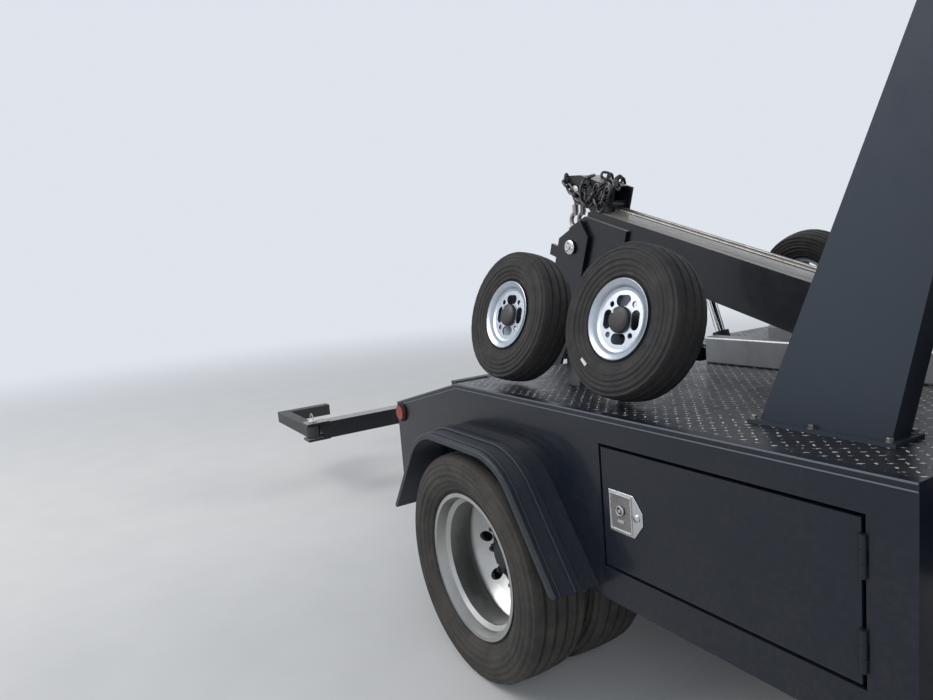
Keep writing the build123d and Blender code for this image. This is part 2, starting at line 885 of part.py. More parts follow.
roller_s, roller_t = sheave_s - 216, boom_half + rope_radius + 8 + roller_radius + rope_radius
rope_t = roller_t - roller_radius - rope_radius - fit_gap
with BuildPart() as winch_ropes:
    for y in (-sheave_y, sheave_y):
        rod_between(
            boom_point(winch_s, winch_t - drum_radius - rope_radius - fit_gap, y),
            boom_point(roller_s, rope_t, y), rope_radius,
        )
save(winch_ropes, "winch_ropes")

# Inner boom with the sheave head: a seat on its end, two cheeks, and a plate over the sheaves
head_in = head_half - head_cheek
head_low = boom_half + move_gap
cheek_front = boom_length - head_front
sheave_x, _, sheave_z = boom_point(sheave_s, sheave_t)
with BuildPart() as boom_inner:
    boom_slab(
        [(inner_tail, inner_half), (inner_reach, inner_half), (inner_reach, -inner_half),
         (inner_tail, -inner_half)],
        -inner_half, inner_half,
    )
    cavity = inner_half - boom_wall
    boom_slab(
        [(inner_tail - 5, cavity), (boom_length, cavity), (boom_length, -cavity),
         (inner_tail - 5, -cavity)],
        -cavity, cavity, mode=Mode.SUBTRACT,
    )
    boom_slab(
        [(boom_length + 8, inner_half - 2), (boom_length + 8, head_low + 12),
         (inner_reach + 45, head_low + 12), (inner_reach, inner_half - 2)],
        -head_half, head_half,
    )
    for y in (-head_half, head_in):
        boom_slab(
            [
                (cheek_front, head_low), (cheek_front, sheave_t + 63), (sheave_s - 8, sheave_t + 76),
                (sheave_s + 109, sheave_t + 52), (sheave_s, sheave_t - 47), (inner_reach + 45, head_low),
            ],
            y, y + head_cheek,
        )
    boom_slab(
        [(cheek_front + 30, sheave_t + 55), (cheek_front + 30, sheave_t + 64),
         (sheave_s - 8, sheave_t + 76), (sheave_s - 8, sheave_t + 70)],
        -head_half + 1, head_half - 1,
    )
    roller_x, _, roller_z = boom_point(roller_s, roller_t)
    cross_rod(roller_x, roller_z, -head_half, head_half, roller_radius)
    cross_rod(sheave_x, sheave_z, -head_half - 8, head_half + 8, 18)
    with BuildSketch(Plane(origin=(sheave_x, 0, sheave_z), x_dir=(0, 1, 0), z_dir=(1, 0, 0))):
        for y in (-sheave_y, sheave_y):
            outline(
                [
                    (y - 15, 0), (y - 15, sheave_radius + sheave_flange),
                    (y - 12, sheave_radius + sheave_flange), (y - rope_radius, sheave_radius),
                    (y + rope_radius, sheave_radius), (y + 12, sheave_radius + sheave_flange),
                    (y + 15, sheave_radius + sheave_flange), (y + 15, 0),
                ]
            )
    revolve(axis=Axis((sheave_x, 0, sheave_z), (0, 1, 0)))
save(boom_inner, "boom_inner")

# Tow hooks, each on the rope that comes under the roller and turns over its sheave
wrap_radius = sheave_radius + rope_radius + fit_gap
roller_wrap = roller_radius + rope_radius + fit_gap
roller_to_sheave = Vector(sheave_x - roller_x, 0, sheave_z - roller_z)
tangent_angle = (
    atan2(roller_to_sheave.Z, roller_to_sheave.X) - radians(90)
    - asin((wrap_radius + roller_wrap) / roller_to_sheave.length)
)
to_rope = Vector(cos(tangent_angle), 0, sin(tangent_angle))
with BuildPart() as tow_hooks:
    hook_x = sheave_x - wrap_radius
    hook_z = sheave_z - hook_drop - 40
    for y in (-sheave_y, sheave_y):
        rod_between(
            Vector(roller_x, y, roller_z) - to_rope * roller_wrap,
            Vector(sheave_x, y, sheave_z) + to_rope * wrap_radius, rope_radius,
        )
        with BuildSketch(Plane.XY.offset(sheave_z)):
            with Locations((hook_x, y)):
                Circle(rope_radius)
        revolve(
            axis=Axis((sheave_x, y, sheave_z), (0, 1, 0)), revolution_arc=180 - degrees(tangent_angle)
        )
        rod_between((hook_x, y, sheave_z), (hook_x, y, sheave_z - hook_drop), rope_radius)
        rod_between((hook_x, y, sheave_z - hook_drop + 1), (hook_x, y, hook_z), hook_bar + 4)
        # The hook is a round bar bent down, back and up again to its point.
        with BuildSketch(Plane.XY.offset(hook_z - hook_radius)):
            with Locations((hook_x + hook_radius, y)):
                Circle(hook_bar)
        revolve(
            axis=Axis((hook_x, y, hook_z - hook_radius), (0, 1, 0)), revolution_arc=250
        )
        rod_between(
            (hook_x, y, hook_z + 1), (hook_x, y, hook_z - hook_bar), hook_bar
        )
save(tow_hooks, "tow_hooks")

# Lift cylinders, drawn as one pair of barrels and one pair of rods
base = Vector(cylinder_base_x, 0, cylinder_base_z)
eye = Vector(eye_x, 0, eye_z)
reach = (eye - base).normalized()


def along_cylinder(start, distance, y):
    point = start + reach * distance
    return (point.X, y, point.Z)


with BuildPart() as lift_cylinder:
    for y in (-cylinder_y, cylinder_y):
        rod_between(along_cylinder(base, 0, y), along_cylinder(base, cylinder_barrel, y), cylinder_radius)
        cross_rod(base.X, base.Z, y - cylinder_radius, y + cylinder_radius, cylinder_radius + 8)
        for start, end, bore in (
            (48, cylinder_barrel - 25, lift_rod_radius + 4),
            (cylinder_barrel - 26, cylinder_barrel + 5, lift_rod_radius + fit_gap),
        ):
            rod_between(
                along_cylinder(base, start, y), along_cylinder(base, end, y), bore,
                mode=Mode.SUBTRACT,
            )
        cross_rod(
            base.X, base.Z, y - cylinder_radius - 1, y + cylinder_radius + 1,
            pin_radius + fit_gap, mode=Mode.SUBTRACT,
        )
save(lift_cylinder, "lift_cylinder")

with BuildPart() as lift_rod:
    for y in (-cylinder_y, cylinder_y):
        rod_between(along_cylinder(eye, -cylinder_barrel + 5, y), along_cylinder(eye, 0, y), lift_rod_radius)
        cross_rod(eye.X, eye.Z, y - eye_half, y + eye_half, pin_radius + eye_play + 13)
        cross_rod(eye.X, eye.Z, y - 25, y + 25, pin_radius + eye_play, mode=Mode.SUBTRACT)
save(lift_rod, "lift_rod")


# Link that keeps the mast upright, parallel to the line from the boom's pin to the mast's
def mast_point(drop, back):
    """The point this far down the mast from its top pin and this far to its rear."""
    return (mast_pin_x + drop * mast_dx + back * mast_dz, mast_pin_z + drop * mast_dz - back * mast_dx)


with BuildPart() as lower_link:
    foot, top = Vector(link_foot_x, 0, link_foot_z), Vector(link_pin_x, 0, link_pin_z)
    run = (top - foot).normalized()
    across = Vector(-run.Z, 0, run.X) * link_half
    corners = (foot + across, top + across, top - across, foot - across)
    plate([(c.X, c.Z) for c in corners], link_width / 2, link_width)
    for centre in (foot, top):
        cross_rod(centre.X, centre.Z, -link_width / 2, link_width / 2, link_half + 8)
    cross_rod(foot.X, foot.Z, -link_width, link_width, pin_radius + fit_gap, mode=Mode.SUBTRACT)
    cross_rod(top.X, top.Z, -link_width, link_width, pin_radius + 1.5, mode=Mode.SUBTRACT)
save(lower_link, "lower_link")

# Mast: two side plates, with plates across their rear above and their front below
mast_in = mast_out_y - mast_plate
with BuildPart() as mast:
    for y in (-mast_in, mast_out_y):
        plate(
            [
                mast_point(-15, mast_top_half), mast_point(-mast_peak, -30),
                mast_point(-mast_peak + 60, -mast_top_half), mast_point(420, -mast_top_half), mast_point(560, -mast_low_half),
                mast_point(arm_pivot_drop, -mast_low_half), mast_point(arm_pivot_drop, mast_low_half),
                mast_point(560, mast_low_half), mast_point(420, mast_top_half),
            ],
            y, mast_plate,
        )
        cross_rod(mast_pin_x, mast_pin_z, y - mast_plate, y, mast_top_half - 40)
        cross_rod(arm_pivot_x, arm_pivot_z, y - mast_plate, y, mast_low_half)
        # A lug for a safety chain stands out behind each plate's top.
        plate(
            [mast_point(drop, mast_top_half + back) for drop, back in
             ((25, -2), (25, mast_lug), (80, mast_lug), (80, -2))],
            y, mast_plate,
        )
    for drops, backs in (
        ((150, 420), (mast_top_half - 14, mast_top_half)),
        ((700, 1050), (-mast_low_half, -mast_low_half + 12)),
    ):
        corners = [mast_point(drops[0], b) for b in backs] + [mast_point(drops[1], b) for b in backs[::-1]]
        plate(corners, mast_in + 1, 2 * mast_in + 2)
    cross_rod(link_pin_x, link_pin_z, -mast_in - 1, mast_in + 1, pin_radius)
    cross_rod(arm_pivot_x, arm_pivot_z, -mast_in - 1, mast_in + 1, stub_radius)
    for side in (1, -1):
        for x, z, inner in (
            (link_pin_x, link_pin_z, link_width / 2 + move_gap), (arm_pivot_x, arm_pivot_z, arm_half + move_gap)
        ):
            cross_rod(x, z, *sorted((side * inner, side * (mast_in + 1))), stub_radius + 12)
        y_pair = sorted((side * (mast_in - 1), side * (mast_out_y + 1)))
        cross_rod(mast_pin_x, mast_pin_z, *y_pair, stub_radius + fit_gap, mode=Mode.SUBTRACT)
save(mast, "mast")

# Underlift arm, its stinger, the crossbar and the two wheel arms
with BuildPart() as underlift_arm:
    arm_z = (arm_pivot_z - arm_half, arm_pivot_z + arm_half)
    block((arm_pivot_x - arm_length, arm_pivot_x), (-arm_half, arm_half), arm_z)
    cross_rod(arm_pivot_x, arm_pivot_z, -arm_half, arm_half, arm_half)
    inner = arm_half - arm_wall
    block(
        (arm_pivot_x - arm_length - 5, arm_pivot_x - 52), (-inner, inner),
        (arm_pivot_z - inner, arm_pivot_z + inner), mode=Mode.SUBTRACT,
    )
    mouth = (arm_pivot_x - arm_length, arm_pivot_x - arm_length + pad_length)
    block(mouth, (-inner - 1, inner + 1), (arm_pivot_z - inner - 1, arm_pivot_z + inner + 1))
    pad = stinger_half + fit_gap
    block(
        (mouth[0] - 5, mouth[1] + 5), (-pad, pad), (arm_pivot_z - pad, arm_pivot_z + pad),
        mode=Mode.SUBTRACT,
    )
    cross_rod(
        arm_pivot_x, arm_pivot_z, -arm_half - 1, arm_half + 1, stub_radius + fit_gap,
        mode=Mode.SUBTRACT,
    )
save(underlift_arm, "underlift_arm")

fork_in = claw_half + move_gap
fork_thick = 16
yoke_x = crossbar_x + crossbar_half + yoke_gap
with BuildPart() as stinger:
    block(
        (yoke_x, arm_pivot_x - 560), (-stinger_half, stinger_half),
        (arm_pivot_z - stinger_half, arm_pivot_z + stinger_half),
    )
    for side in (1, -1):
        block(
            (crossbar_x - crossbar_half, yoke_x + yoke_plate), (-yoke_half, yoke_half),
            sorted((
                arm_pivot_z + side * (crossbar_half + move_gap),
                arm_pivot_z + side * (crossbar_half + move_gap + fork_thick),
            )),
        )
    block(
        (yoke_x, yoke_x + yoke_plate), (-yoke_half, yoke_half),
        (arm_pivot_z - crossbar_half - 10, arm_pivot_z + crossbar_half + 10),
    )
    rod_between(
        (crossbar_x, 0, arm_pivot_z - crossbar_half - move_gap - 1),
        (crossbar_x, 0, arm_pivot_z + crossbar_half + move_gap + 1), stub_radius,
    )
save(stinger, "stinger")

with BuildPart() as crossbar:
    block(
        (crossbar_x - crossbar_half, crossbar_x + crossbar_half),
        (-crossbar_half_length, crossbar_half_length),
        (arm_pivot_z - crossbar_half, arm_pivot_z + crossbar_half),
    )
    for side in (1, -1):
        for z in (fork_in, -fork_in - fork_thick):
            block(
                (crossbar_x - crossbar_half, crossbar_x + crossbar_half),
                sorted((side * (crossbar_half_length - 40), side * (claw_pin_y + 50))),
                (arm_pivot_z + z, arm_pivot_z + z + fork_thick),
            )
        with Locations((crossbar_x, side * claw_pin_y, arm_pivot_z)):
            Cylinder(pin_radius, 2 * fork_in + 1)
    with Locations((crossbar_x, 0, arm_pivot_z)):
        Cylinder(stub_radius + fit_gap, 2 * crossbar_half + 2, mode=Mode.SUBTRACT)
save(crossbar, "crossbar")

for side, name in ((1, "left"), (-1, "right")):
    with BuildPart() as l_arm:
        claw_z = (arm_pivot_z - claw_half, arm_pivot_z + claw_half)
        with Locations((crossbar_x, side * claw_pin_y, arm_pivot_z)):
            Cylinder(46, 2 * claw_half)
        y_pair = sorted((side * (claw_pin_y - claw_half), side * (claw_pin_y + claw_half)))
        block((crossbar_x - claw_length, crossbar_x), y_pair, claw_z)
        y_pair = sorted((side * (claw_pin_y + claw_half), side * (claw_pin_y - claw_half - claw_leg)))
        block((rear_x, rear_x + 2 * claw_half), y_pair, claw_z)
        with Locations((crossbar_x, side * claw_pin_y, arm_pivot_z)):
            Cylinder(pin_radius + fit_gap, 2 * claw_half + 2, mode=Mode.SUBTRACT)
    save(l_arm, f"l_arm_{name}")

# Dollies stowed on the deck: four wheels leaning inboard, on two beams with posts
lean_out = cos(radians(dolly_lean))
lean_up = sin(radians(dolly_lean))
beam_y = dolly_y - dolly_beam_offset * lean_out
beam_z = dolly_z - dolly_beam_offset * lean_up
with BuildPart() as dolly_frames:
    for side in (1, -1):
        y_pair = sorted((side * (beam_y - 30), side * (beam_y + 30)))
        block((dolly_rear_x - 60, dolly_front_x + 60), y_pair, (beam_z - 30, beam_z + 30))
        for x in (dolly_rear_x + 190, dolly_front_x - 190):
            block((x - 30, x + 30), y_pair, (deck_top + fit_gap, beam_z))
        for x in (dolly_rear_x, dolly_front_x):
            rod_between(
                (x, side * beam_y, beam_z),
                (x, side * (dolly_y + 40 * lean_out), dolly_z + 40 * lean_up), 24,
            )
        # The dollies' axle bars lie on the deck beside the boom.
        with BuildSketch(Plane.YZ.offset(axle_bar_front_x - axle_bar_length)) as bar:
            with Locations((side * axle_bar_y, deck_top + fit_gap + axle_bar_height / 2)):
                RectangleRounded(axle_bar_width, axle_bar_height, 8)
                Rectangle(axle_bar_width - 12, axle_bar_height - 12, mode=Mode.SUBTRACT)
        extrude(bar.sketch, amount=axle_bar_length)
save(dolly_frames, "dolly_frames")

for side, side_name in ((1, "left"), (-1, "right")):
    for x, end_name in ((dolly_front_x, "front"), (dolly_rear_x, "rear")):
        centre = (x, side * dolly_y, dolly_z)
        half = dolly_tyre_width / 2
        with BuildPart() as dolly_tyre:
            with BuildSketch(wheel_plane(centre, side, dolly_lean)):
                tyre_section(0, dolly_tyre_radius, dolly_tyre_width, dolly_bead_radius, half - 16)
            revolve(axis=wheel_axis(centre, side, dolly_lean))
        save(dolly_tyre, f"dolly_tyre_{end_name}_{side_name}")
        with BuildPart() as dolly_rim:
            with BuildSketch(wheel_plane(centre, side, dolly_lean)):
                seat = dolly_bead_radius - fit_gap
                outline(
                    [
                        (half - 8, dolly_rim_lip), (half - 15, dolly_rim_lip), (half - 16, seat),
                        (-half + 16, seat), (-half + 15, dolly_rim_lip), (-half + 8, dolly_rim_lip),
                        (-half + 8, seat - 2), (-half + 16, seat - 8), (half - 16, seat - 8),
                        (half - 8, seat - 2),
                    ]
                )
                outline(
                    [
                        (half - 40, seat - 4), (half - 22, seat - 4), (half - 28, 62), (half + 4, 44),
                        (half + 12, 30), (half + 12, 0), (42, 0), (42, 24 + fit_gap),
                        (-40, 24 + fit_gap), (-40, 40), (20, 44), (half - 40, 64),
                    ]
                )
            revolve(axis=wheel_axis(centre, side, dolly_lean))
            outward = wheel_plane(centre, side, dolly_lean)
            disc_plane = Plane(
                origin=outward.origin + outward.x_dir * (half - 60), x_dir=(1, 0, 0),
                z_dir=outward.x_dir,
            )
            with BuildSketch(disc_plane):
                with PolarLocations(dolly_hole_pitch, 5, start_angle=18):
                    SlotCenterToCenter(dolly_oval_run, dolly_oval, rotation=90)
                with PolarLocations(dolly_hole_pitch - 8, 5, start_angle=54):
                    Circle(dolly_small_hole)
            extrude(amount=60, mode=Mode.SUBTRACT)
        save(dolly_rim, f"dolly_rim_{end_name}_{side_name}")

# Cab: a hollow shell of one wall thickness, whose doors are cut out of the same shell
cab_profile = [
    (cab_back_x, cab_low), (cab_back_x, cab_belt), (roof_rear_x, cab_roof), (header_x, cab_roof),
    (cab_front_x, cowl_z), (cab_front_x, cab_low),
]
cab_section = [
    (rocker_in, cab_low), (cab_half, cab_low), (cab_half, cab_belt), (cab_roof_half, cab_roof),
    (-cab_roof_half, cab_roof), (-cab_half, cab_belt), (-cab_half, cab_low), (-rocker_in, cab_low),
    (-rocker_in, floor_low), (rocker_in, floor_low),
]


def rounded_outline(points, corners, inset=0):
    """A closed face, rounded at each (point, radius) of corners, with its sides moved in."""
    outline(points)
    for point, radius in corners:
        fillet(vertices().sort_by_distance((*point, 0))[0], radius)
    if inset:
        offset(amount=-inset, kind=Kind.INTERSECTION)


def cab_volume(inset):
    """The cab's solid shape, with every side moved in by inset."""
    roof_edges = ((roof_rear_x, cab_roof), (header_x, cab_roof))
    with BuildPart(mode=Mode.PRIVATE) as volume:
        with BuildSketch(Plane.XZ.offset(-cab_half - 10)):
            rounded_outline(cab_profile, [(point, roof_radius) for point in roof_edges], inset)
        extrude(amount=2 * cab_half + 20)
        with BuildSketch(Plane.YZ.offset(cab_back_x - 10)):
            rounded_outline(
                cab_section,
                [
                    ((side * y, z), radius)
                    for side in (1, -1)
                    for y, z, radius in (
                        (cab_roof_half, cab_roof, roof_radius), (cab_half, cab_belt, belt_radius),
                        (cab_half, cab_low, sill_radius),
                    )
                ],
                inset,
            )
        extrude(amount=cab_front_x - cab_back_x + 20, mode=Mode.INTERSECT)
    return volume.part


def prism(points, grow, y_low, y_high, mode):
    """An (x, z) outline enlarged by grow, between two values of y."""
    with BuildSketch(Plane.XZ.offset(-y_high)) as drawn:
        outline(points)
        if grow:
            offset(amount=grow, kind=Kind.INTERSECTION)
    extrude(drawn.sketch, amount=y_high - y_low, mode=mode)


screen_slope = (cab_front_x - header_x) / (cab_roof - cowl_z)
door_pillar = 130


def pillar_x(z):
    """Where the door's front edge runs beside the windscreen."""
    return cab_front_x - (z - cowl_z) * screen_slope - door_pillar


door_outline = [
    (cab_door_rear_x, cab_door_low), (cab_door_rear_x, cab_door_high),
    (pillar_x(cab_door_high), cab_door_high), (cab_door_front_x, cowl_z + 30),
    (cab_door_front_x, cab_door_low),
]
cab_hinge_x = cab_door_front_x + panel_gap / 2
cab_hinge_heights = (cab_door_low + 120, cab_belt - 120)
door_in = rocker_in + cab_wall + 5
sash = 60
glass_low = cab_belt + 15
glass_high = cab_door_high - sash
glass_outline = [
    (cab_door_rear_x + sash, glass_low), (cab_door_rear_x + sash, glass_high),
    (pillar_x(glass_high) - sash, glass_high), (pillar_x(glass_low) - sash, glass_low),
]
skin = cab_volume(0) - cab_volume(cab_wall)
glass_skin = cab_volume(16) - cab_volume(16 + glass_thick)
screen_section = [(-840, cowl_z + 60), (840, cowl_z + 60), (790, cab_roof - 95), (-790, cab_roof - 95)]
rear_section = [(-620, cab_belt + 60), (620, cab_belt + 60), (600, cab_roof - 150), (-600, cab_roof - 150)]


def lengthwise(points, x_low, x_high, mode):
    """A (y, z) outline between two values of x."""
    with BuildSketch(Plane.YZ.offset(x_low)) as drawn:
        outline(points)
    extrude(drawn.sketch, amount=x_high - x_low, mode=mode)


hood_hinge_x = cab_front_x + 20
hood_hinge_z = cowl_z - 20
hood_hinge_y = 620
with BuildPart() as cab_shell:
    add(skin)
    for side in (1, -1):
        y_pair = sorted((side * (hood_hinge_y - 14), side * (hood_hinge_y + 14)))
        block((cab_front_x - 5, hood_hinge_x), y_pair, (hood_hinge_z - 9, hood_hinge_z + 9))
        cross_rod(hood_hinge_x, hood_hinge_z, *y_pair, 9)
        y_pair = sorted((side * (hood_hinge_y - 44), side * (hood_hinge_y + 44)))
        cross_rod(hood_hinge_x, hood_hinge_z, *y_pair, 5)
    for y_low, y_high in ((-cab_half - 20, -door_in), (door_in, cab_half + 20)):
        prism(door_outline, panel_gap, y_low, y_high, Mode.SUBTRACT)
    lengthwise(screen_section, header_x, cab_front_x + 10, Mode.SUBTRACT)
    lengthwise(rear_section, cab_back_x - 10, roof_rear_x + 100, Mode.SUBTRACT)
    cross_rod(
        wheelbase, tyre_radius, -cab_half - 10, cab_half + 10,
        front_arch_radius + steer_clearance, mode=Mode.SUBTRACT,
    )
    for side in (1, -1):
        upright_hinge(cab_hinge_x, side * (cab_half + hinge_out), cab_hinge_heights, False)
    for x in (cab_back_x + 40, cab_front_x - 120):
        for side in (1, -1):
            y_pair = sorted((side * (rail_half - 60), side * rail_half))
            block((x, x + 80), y_pair, (rail_top + fit_gap, floor_low + 1))
save(cab_shell, "cab_shell")

with BuildPart() as cab_glass:
    for points, x_low, x_high in (
        (screen_section, header_x, cab_front_x + 10),
        (rear_section, cab_back_x - 10, roof_rear_x + 100),
    ):
        with BuildPart(mode=Mode.PRIVATE) as pane:
            add(glass_skin)
            lengthwise(points, x_low, x_high, Mode.INTERSECT)
        add(pane.part)
save(cab_glass, "cab_glass")

for side, name in ((1, "left"), (-1, "right")):
    y_low, y_high = sorted((side * door_in, side * (cab_half + 20)))
    with BuildPart() as door:
        add(skin)
        prism(door_outline, 0, y_low, y_high, Mode.INTERSECT)
        prism(glass_outline, 0, y_low, y_high, Mode.SUBTRACT)
        upright_hinge(cab_hinge_x, side * (cab_half + hinge_out), cab_hinge_heights, True)
        y_pair = sorted((side * (cab_half - 10), side * (cab_half + 95)))
        block((mirror_x - 16, mirror_x + 16), y_pair, (cab_belt - 70, cab_belt - 30))
        with BuildSketch(Plane.YZ.offset(mirror_x - 35)):
            with Locations((side * (cab_half + 180), cab_belt + 65)):
                RectangleRounded(200, 330, 40)
        extrude(amount=70)
    save(door, f"door_{name}")
    with BuildPart() as door_glass:
        add(glass_skin)
        prism(glass_outline, 0, y_low, y_high, Mode.INTERSECT)
    save(door_glass, f"door_glass_{name}")

# Seat and dashboard with the steering column and wheel
with BuildPart() as bench_seat:
    floor_top = floor_low + cab_wall + fit_gap
    seat_x = cab_back_x + 220
    block((seat_x + 120, seat_x + 700), (-700, 700), (floor_top, floor_top + 150))
    block((seat_x, seat_x + 740), (-740, 740), (floor_top + 150, floor_top + 330))
    plate(
        [(seat_x + 20, floor_top + 200), (seat_x - 90, floor_top + 900),
         (seat_x + 20, floor_top + 920), (seat_x + 170, floor_top + 300)],
        740, 1480,
    )
save(bench_seat, "bench_seat")

with BuildPart() as dashboard:
    dash_x = cab_front_x - cab_wall - 1
    dash_half = cab_half - cab_wall - 15
    dash_outline = [
        (dash_x - 359, 1180), (dash_x - 349, 1330), (dash_x - 219, 1375), (dash_x, 1360),
        (dash_x, 1100), (dash_x - 239, 1100),
    ]
    with BuildSketch(Plane.XZ.offset(-dash_half)):
        rounded_outline(dash_outline, [(point, 40) for point in dash_outline[:3]])
    extrude(amount=2 * dash_half)
    column = Vector(-0.87, 0, 0.49)
    hub = Vector(cab_front_x - 670, 430, 1360)
    rod_between(tuple(hub - column * 330), tuple(hub), 30)
    with BuildSketch(Plane(origin=tuple(hub - column * 12), z_dir=column)):
        Circle(205)
        Circle(178, mode=Mode.SUBTRACT)
        Rectangle(370, 34)
    extrude(amount=24)
save(dashboard, "dashboard")

# Nose: skinned fenders with open arches, then the hood, grille, lamps and bumper
nose_rear_x = cab_front_x + fit_gap
nose_profile = [
    (nose_rear_x, nose_low), (nose_rear_x, cowl_z - 5), (hood_front_x, nose_top_front),
    (nose_front_x, nose_top_front - 50), (nose_front_x, nose_low),
]
nose_section = [
    (cab_half, nose_low), (cab_half, 1120), (950, 1250), (hood_half + panel_gap, cowl_z + 10),
    (-hood_half - panel_gap, cowl_z + 10), (-950, 1250), (-cab_half, 1120), (-cab_half, nose_low),
]
nose_plan = [
    (nose_rear_x, -cab_half), (nose_rear_x, cab_half), (nose_front_x - nose_taper, cab_half),
    (nose_front_x, cab_half - nose_corner), (nose_front_x, -cab_half + nose_corner),
    (nose_front_x - nose_taper, -cab_half),
]


def nose_volume(inset):
    """The nose's solid shape, with every side moved in by inset."""
    with BuildPart(mode=Mode.PRIVATE) as volume:
        with BuildSketch(Plane.XZ.offset(-cab_half - 10)):
            rounded_outline(nose_profile, [(nose_profile[2], hood_radius)], inset)
        extrude(amount=2 * cab_half + 20)
        with BuildSketch(Plane.YZ.offset(cab_front_x - 50)):
            shoulders = [nose_section[i] for i in (1, 2, 5, 6)]
            rounded_outline(nose_section, [(point, fender_radius) for point in shoulders], inset)
        extrude(amount=nose_front_x - cab_front_x + 100, mode=Mode.INTERSECT)
        with BuildSketch(Plane.XY.offset(nose_low - 10)):
            rounded_outline(nose_plan, [(point, nose_plan_radius) for point in nose_plan[2:]], inset)
        extrude(amount=cab_roof - nose_low, mode=Mode.INTERSECT)
    return volume.part


skin_y = cab_half - nose_skin
lamp_in, lamp_out, lamp_low, lamp_high = 570, 940, 970, 1180
with BuildPart() as front_fenders:
    add(nose_volume(0) - nose_volume(nose_skin))
    block(
        (nose_rear_x - 1, hood_front_x + panel_gap), (-hood_half - panel_gap, hood_half + panel_gap),
        (1190, 1500), mode=Mode.SUBTRACT,
    )
    block(
        (nose_rear_x - 1, nose_front_x - nose_skin), (-skin_y, skin_y),
        (nose_low - 1, nose_low + nose_skin + 1), mode=Mode.SUBTRACT,
    )
    block(
        (nose_rear_x - 1, nose_rear_x + nose_skin + 1), (-skin_y, skin_y), (nose_low - 1, 1130),
        mode=Mode.SUBTRACT,
    )
    # A rolled lip stands out round each wheel arch.
    for side in (1, -1):
        with BuildSketch(Plane.XZ.offset(-side * (cab_half - 2))):
            with Locations((wheelbase, tyre_radius)):
                Circle(front_arch_radius + arch_lip)
            with Locations((wheelbase, nose_low - 1000)):
                Rectangle(4000, 2000, mode=Mode.SUBTRACT)
            with Locations((nose_rear_x - 1000, nose_low)):
                Rectangle(2000, 2000, mode=Mode.SUBTRACT)
        extrude(amount=-side * (arch_lip_out + 2))
    cross_rod(
        wheelbase, tyre_radius, -cab_half - 30, cab_half + 30, front_arch_radius,
        mode=Mode.SUBTRACT,
    )
    face_x = (nose_front_x - nose_skin - 5, nose_front_x + 5)
    block(
        face_x, (-grille_half - 6, grille_half + 6), (grille_low - 6, grille_high + 6),
        mode=Mode.SUBTRACT,
    )
    block(face_x, (-600, 600), (nose_low - 1, grille_low), mode=Mode.SUBTRACT)
    for side in (1, -1):
        block(
            (nose_front_x - 110, nose_front_x + 5), sorted((side * lamp_in, side * lamp_out)),
            (lamp_low, lamp_high), mode=Mode.SUBTRACT,
        )
    bar_x = (nose_front_x - 130, nose_front_x - 100)
    block(bar_x, (-skin_y + 60, skin_y - 60), (rail_top + fit_gap, 960))
save(front_fenders, "front_fenders")

with BuildPart() as hood:
    hood_profile = [
        (nose_rear_x + panel_gap, cowl_z - 7), (hood_front_x, nose_top_front),
        (hood_front_x, nose_top_front - 85), (hood_front_x - hood_skin, nose_top_front - 85),
        (hood_front_x - hood_skin, nose_top_front - 28), (nose_rear_x + panel_gap, cowl_z - 33),
    ]
    with BuildSketch(Plane.XZ.offset(-hood_half)):
        rounded_outline(
            hood_profile, [(hood_profile[1], hood_radius), (hood_profile[4], hood_radius / 2)]
        )
    extrude(amount=2 * hood_half)
    # The raised middle panel narrows towards the grille.
    rise = (cowl_z - 7 - nose_top_front) / (hood_front_x - nose_rear_x - panel_gap)
    top = Plane(
        origin=(hood_front_x, 0, nose_top_front - 2), x_dir=(0, 1, 0),
        z_dir=(rise, 0, 1),
    )
    with BuildSketch(top):
        reach = hood_front_x - nose_rear_x - 120
        outline(
            [
                (-hood_bulge_half + 90, 60), (hood_bulge_half - 90, 60),
                (hood_bulge_half, reach), (-hood_bulge_half, reach),
            ]
        )
        fillet(vertices(), 40)
    extrude(amount=hood_bulge, taper=30)
    for side in (1, -1):
        y_pair = sorted((side * (hood_hinge_y - 20), side * (hood_hinge_y + 20)))
        block(
            (nose_rear_x, hood_hinge_x + 18), y_pair, (cowl_z - 60, cowl_z + 10),
            mode=Mode.SUBTRACT,
        )
        y_pair = sorted((side * (hood_hinge_y - 50), side * (hood_hinge_y + 50)))
        cross_rod(hood_hinge_x, hood_hinge_z, *y_pair, 5 + fit_gap, mode=Mode.SUBTRACT)
save(hood, "hood")

with BuildPart() as grille:
    block(
        (nose_front_x - 30, nose_front_x - 10), (-grille_half, grille_half),
        (grille_low, grille_high),
    )
    for z in range(grille_low, grille_high, 70):
        block((nose_front_x - 12, nose_front_x + 6), (-grille_half, grille_half), (z, z + 26))
    for y in (-grille_half + 13, 0, grille_half - 13):
        block((nose_front_x - 12, nose_front_x + 6), (y - 13, y + 13), (grille_low, grille_high))
    for side in (1, -1):
        block((bar_x[1] + fit_gap, nose_front_x - 29), sorted((side * 380, side * 420)), (800, 840))
save(grille, "grille")

# Headlamps, cut to the curve of the nose, on stems from the radiator's cross bar
with BuildPart() as headlamps:
    add(nose_volume(-4))
    for side in (1, -1):
        y_pair = sorted((side * (lamp_in + 4), side * (lamp_out - 4)))
        with BuildPart(mode=Mode.PRIVATE) as lamp:
            block((nose_front_x - 90, nose_front_x + 10), y_pair, (lamp_low + 4, lamp_high - 4))
            lamp_pair = lamp.part if side > 0 else lamp_pair + lamp.part
    add(lamp_pair, mode=Mode.INTERSECT)
    for side in (1, -1):
        y_pair = sorted((side * 700, side * 740))
        block((bar_x[1] + fit_gap, nose_front_x - 70), y_pair, (920, 960))
        block((nose_front_x - 90, nose_front_x - 70), y_pair, (920, 980))
save(headlamps, "headlamps")

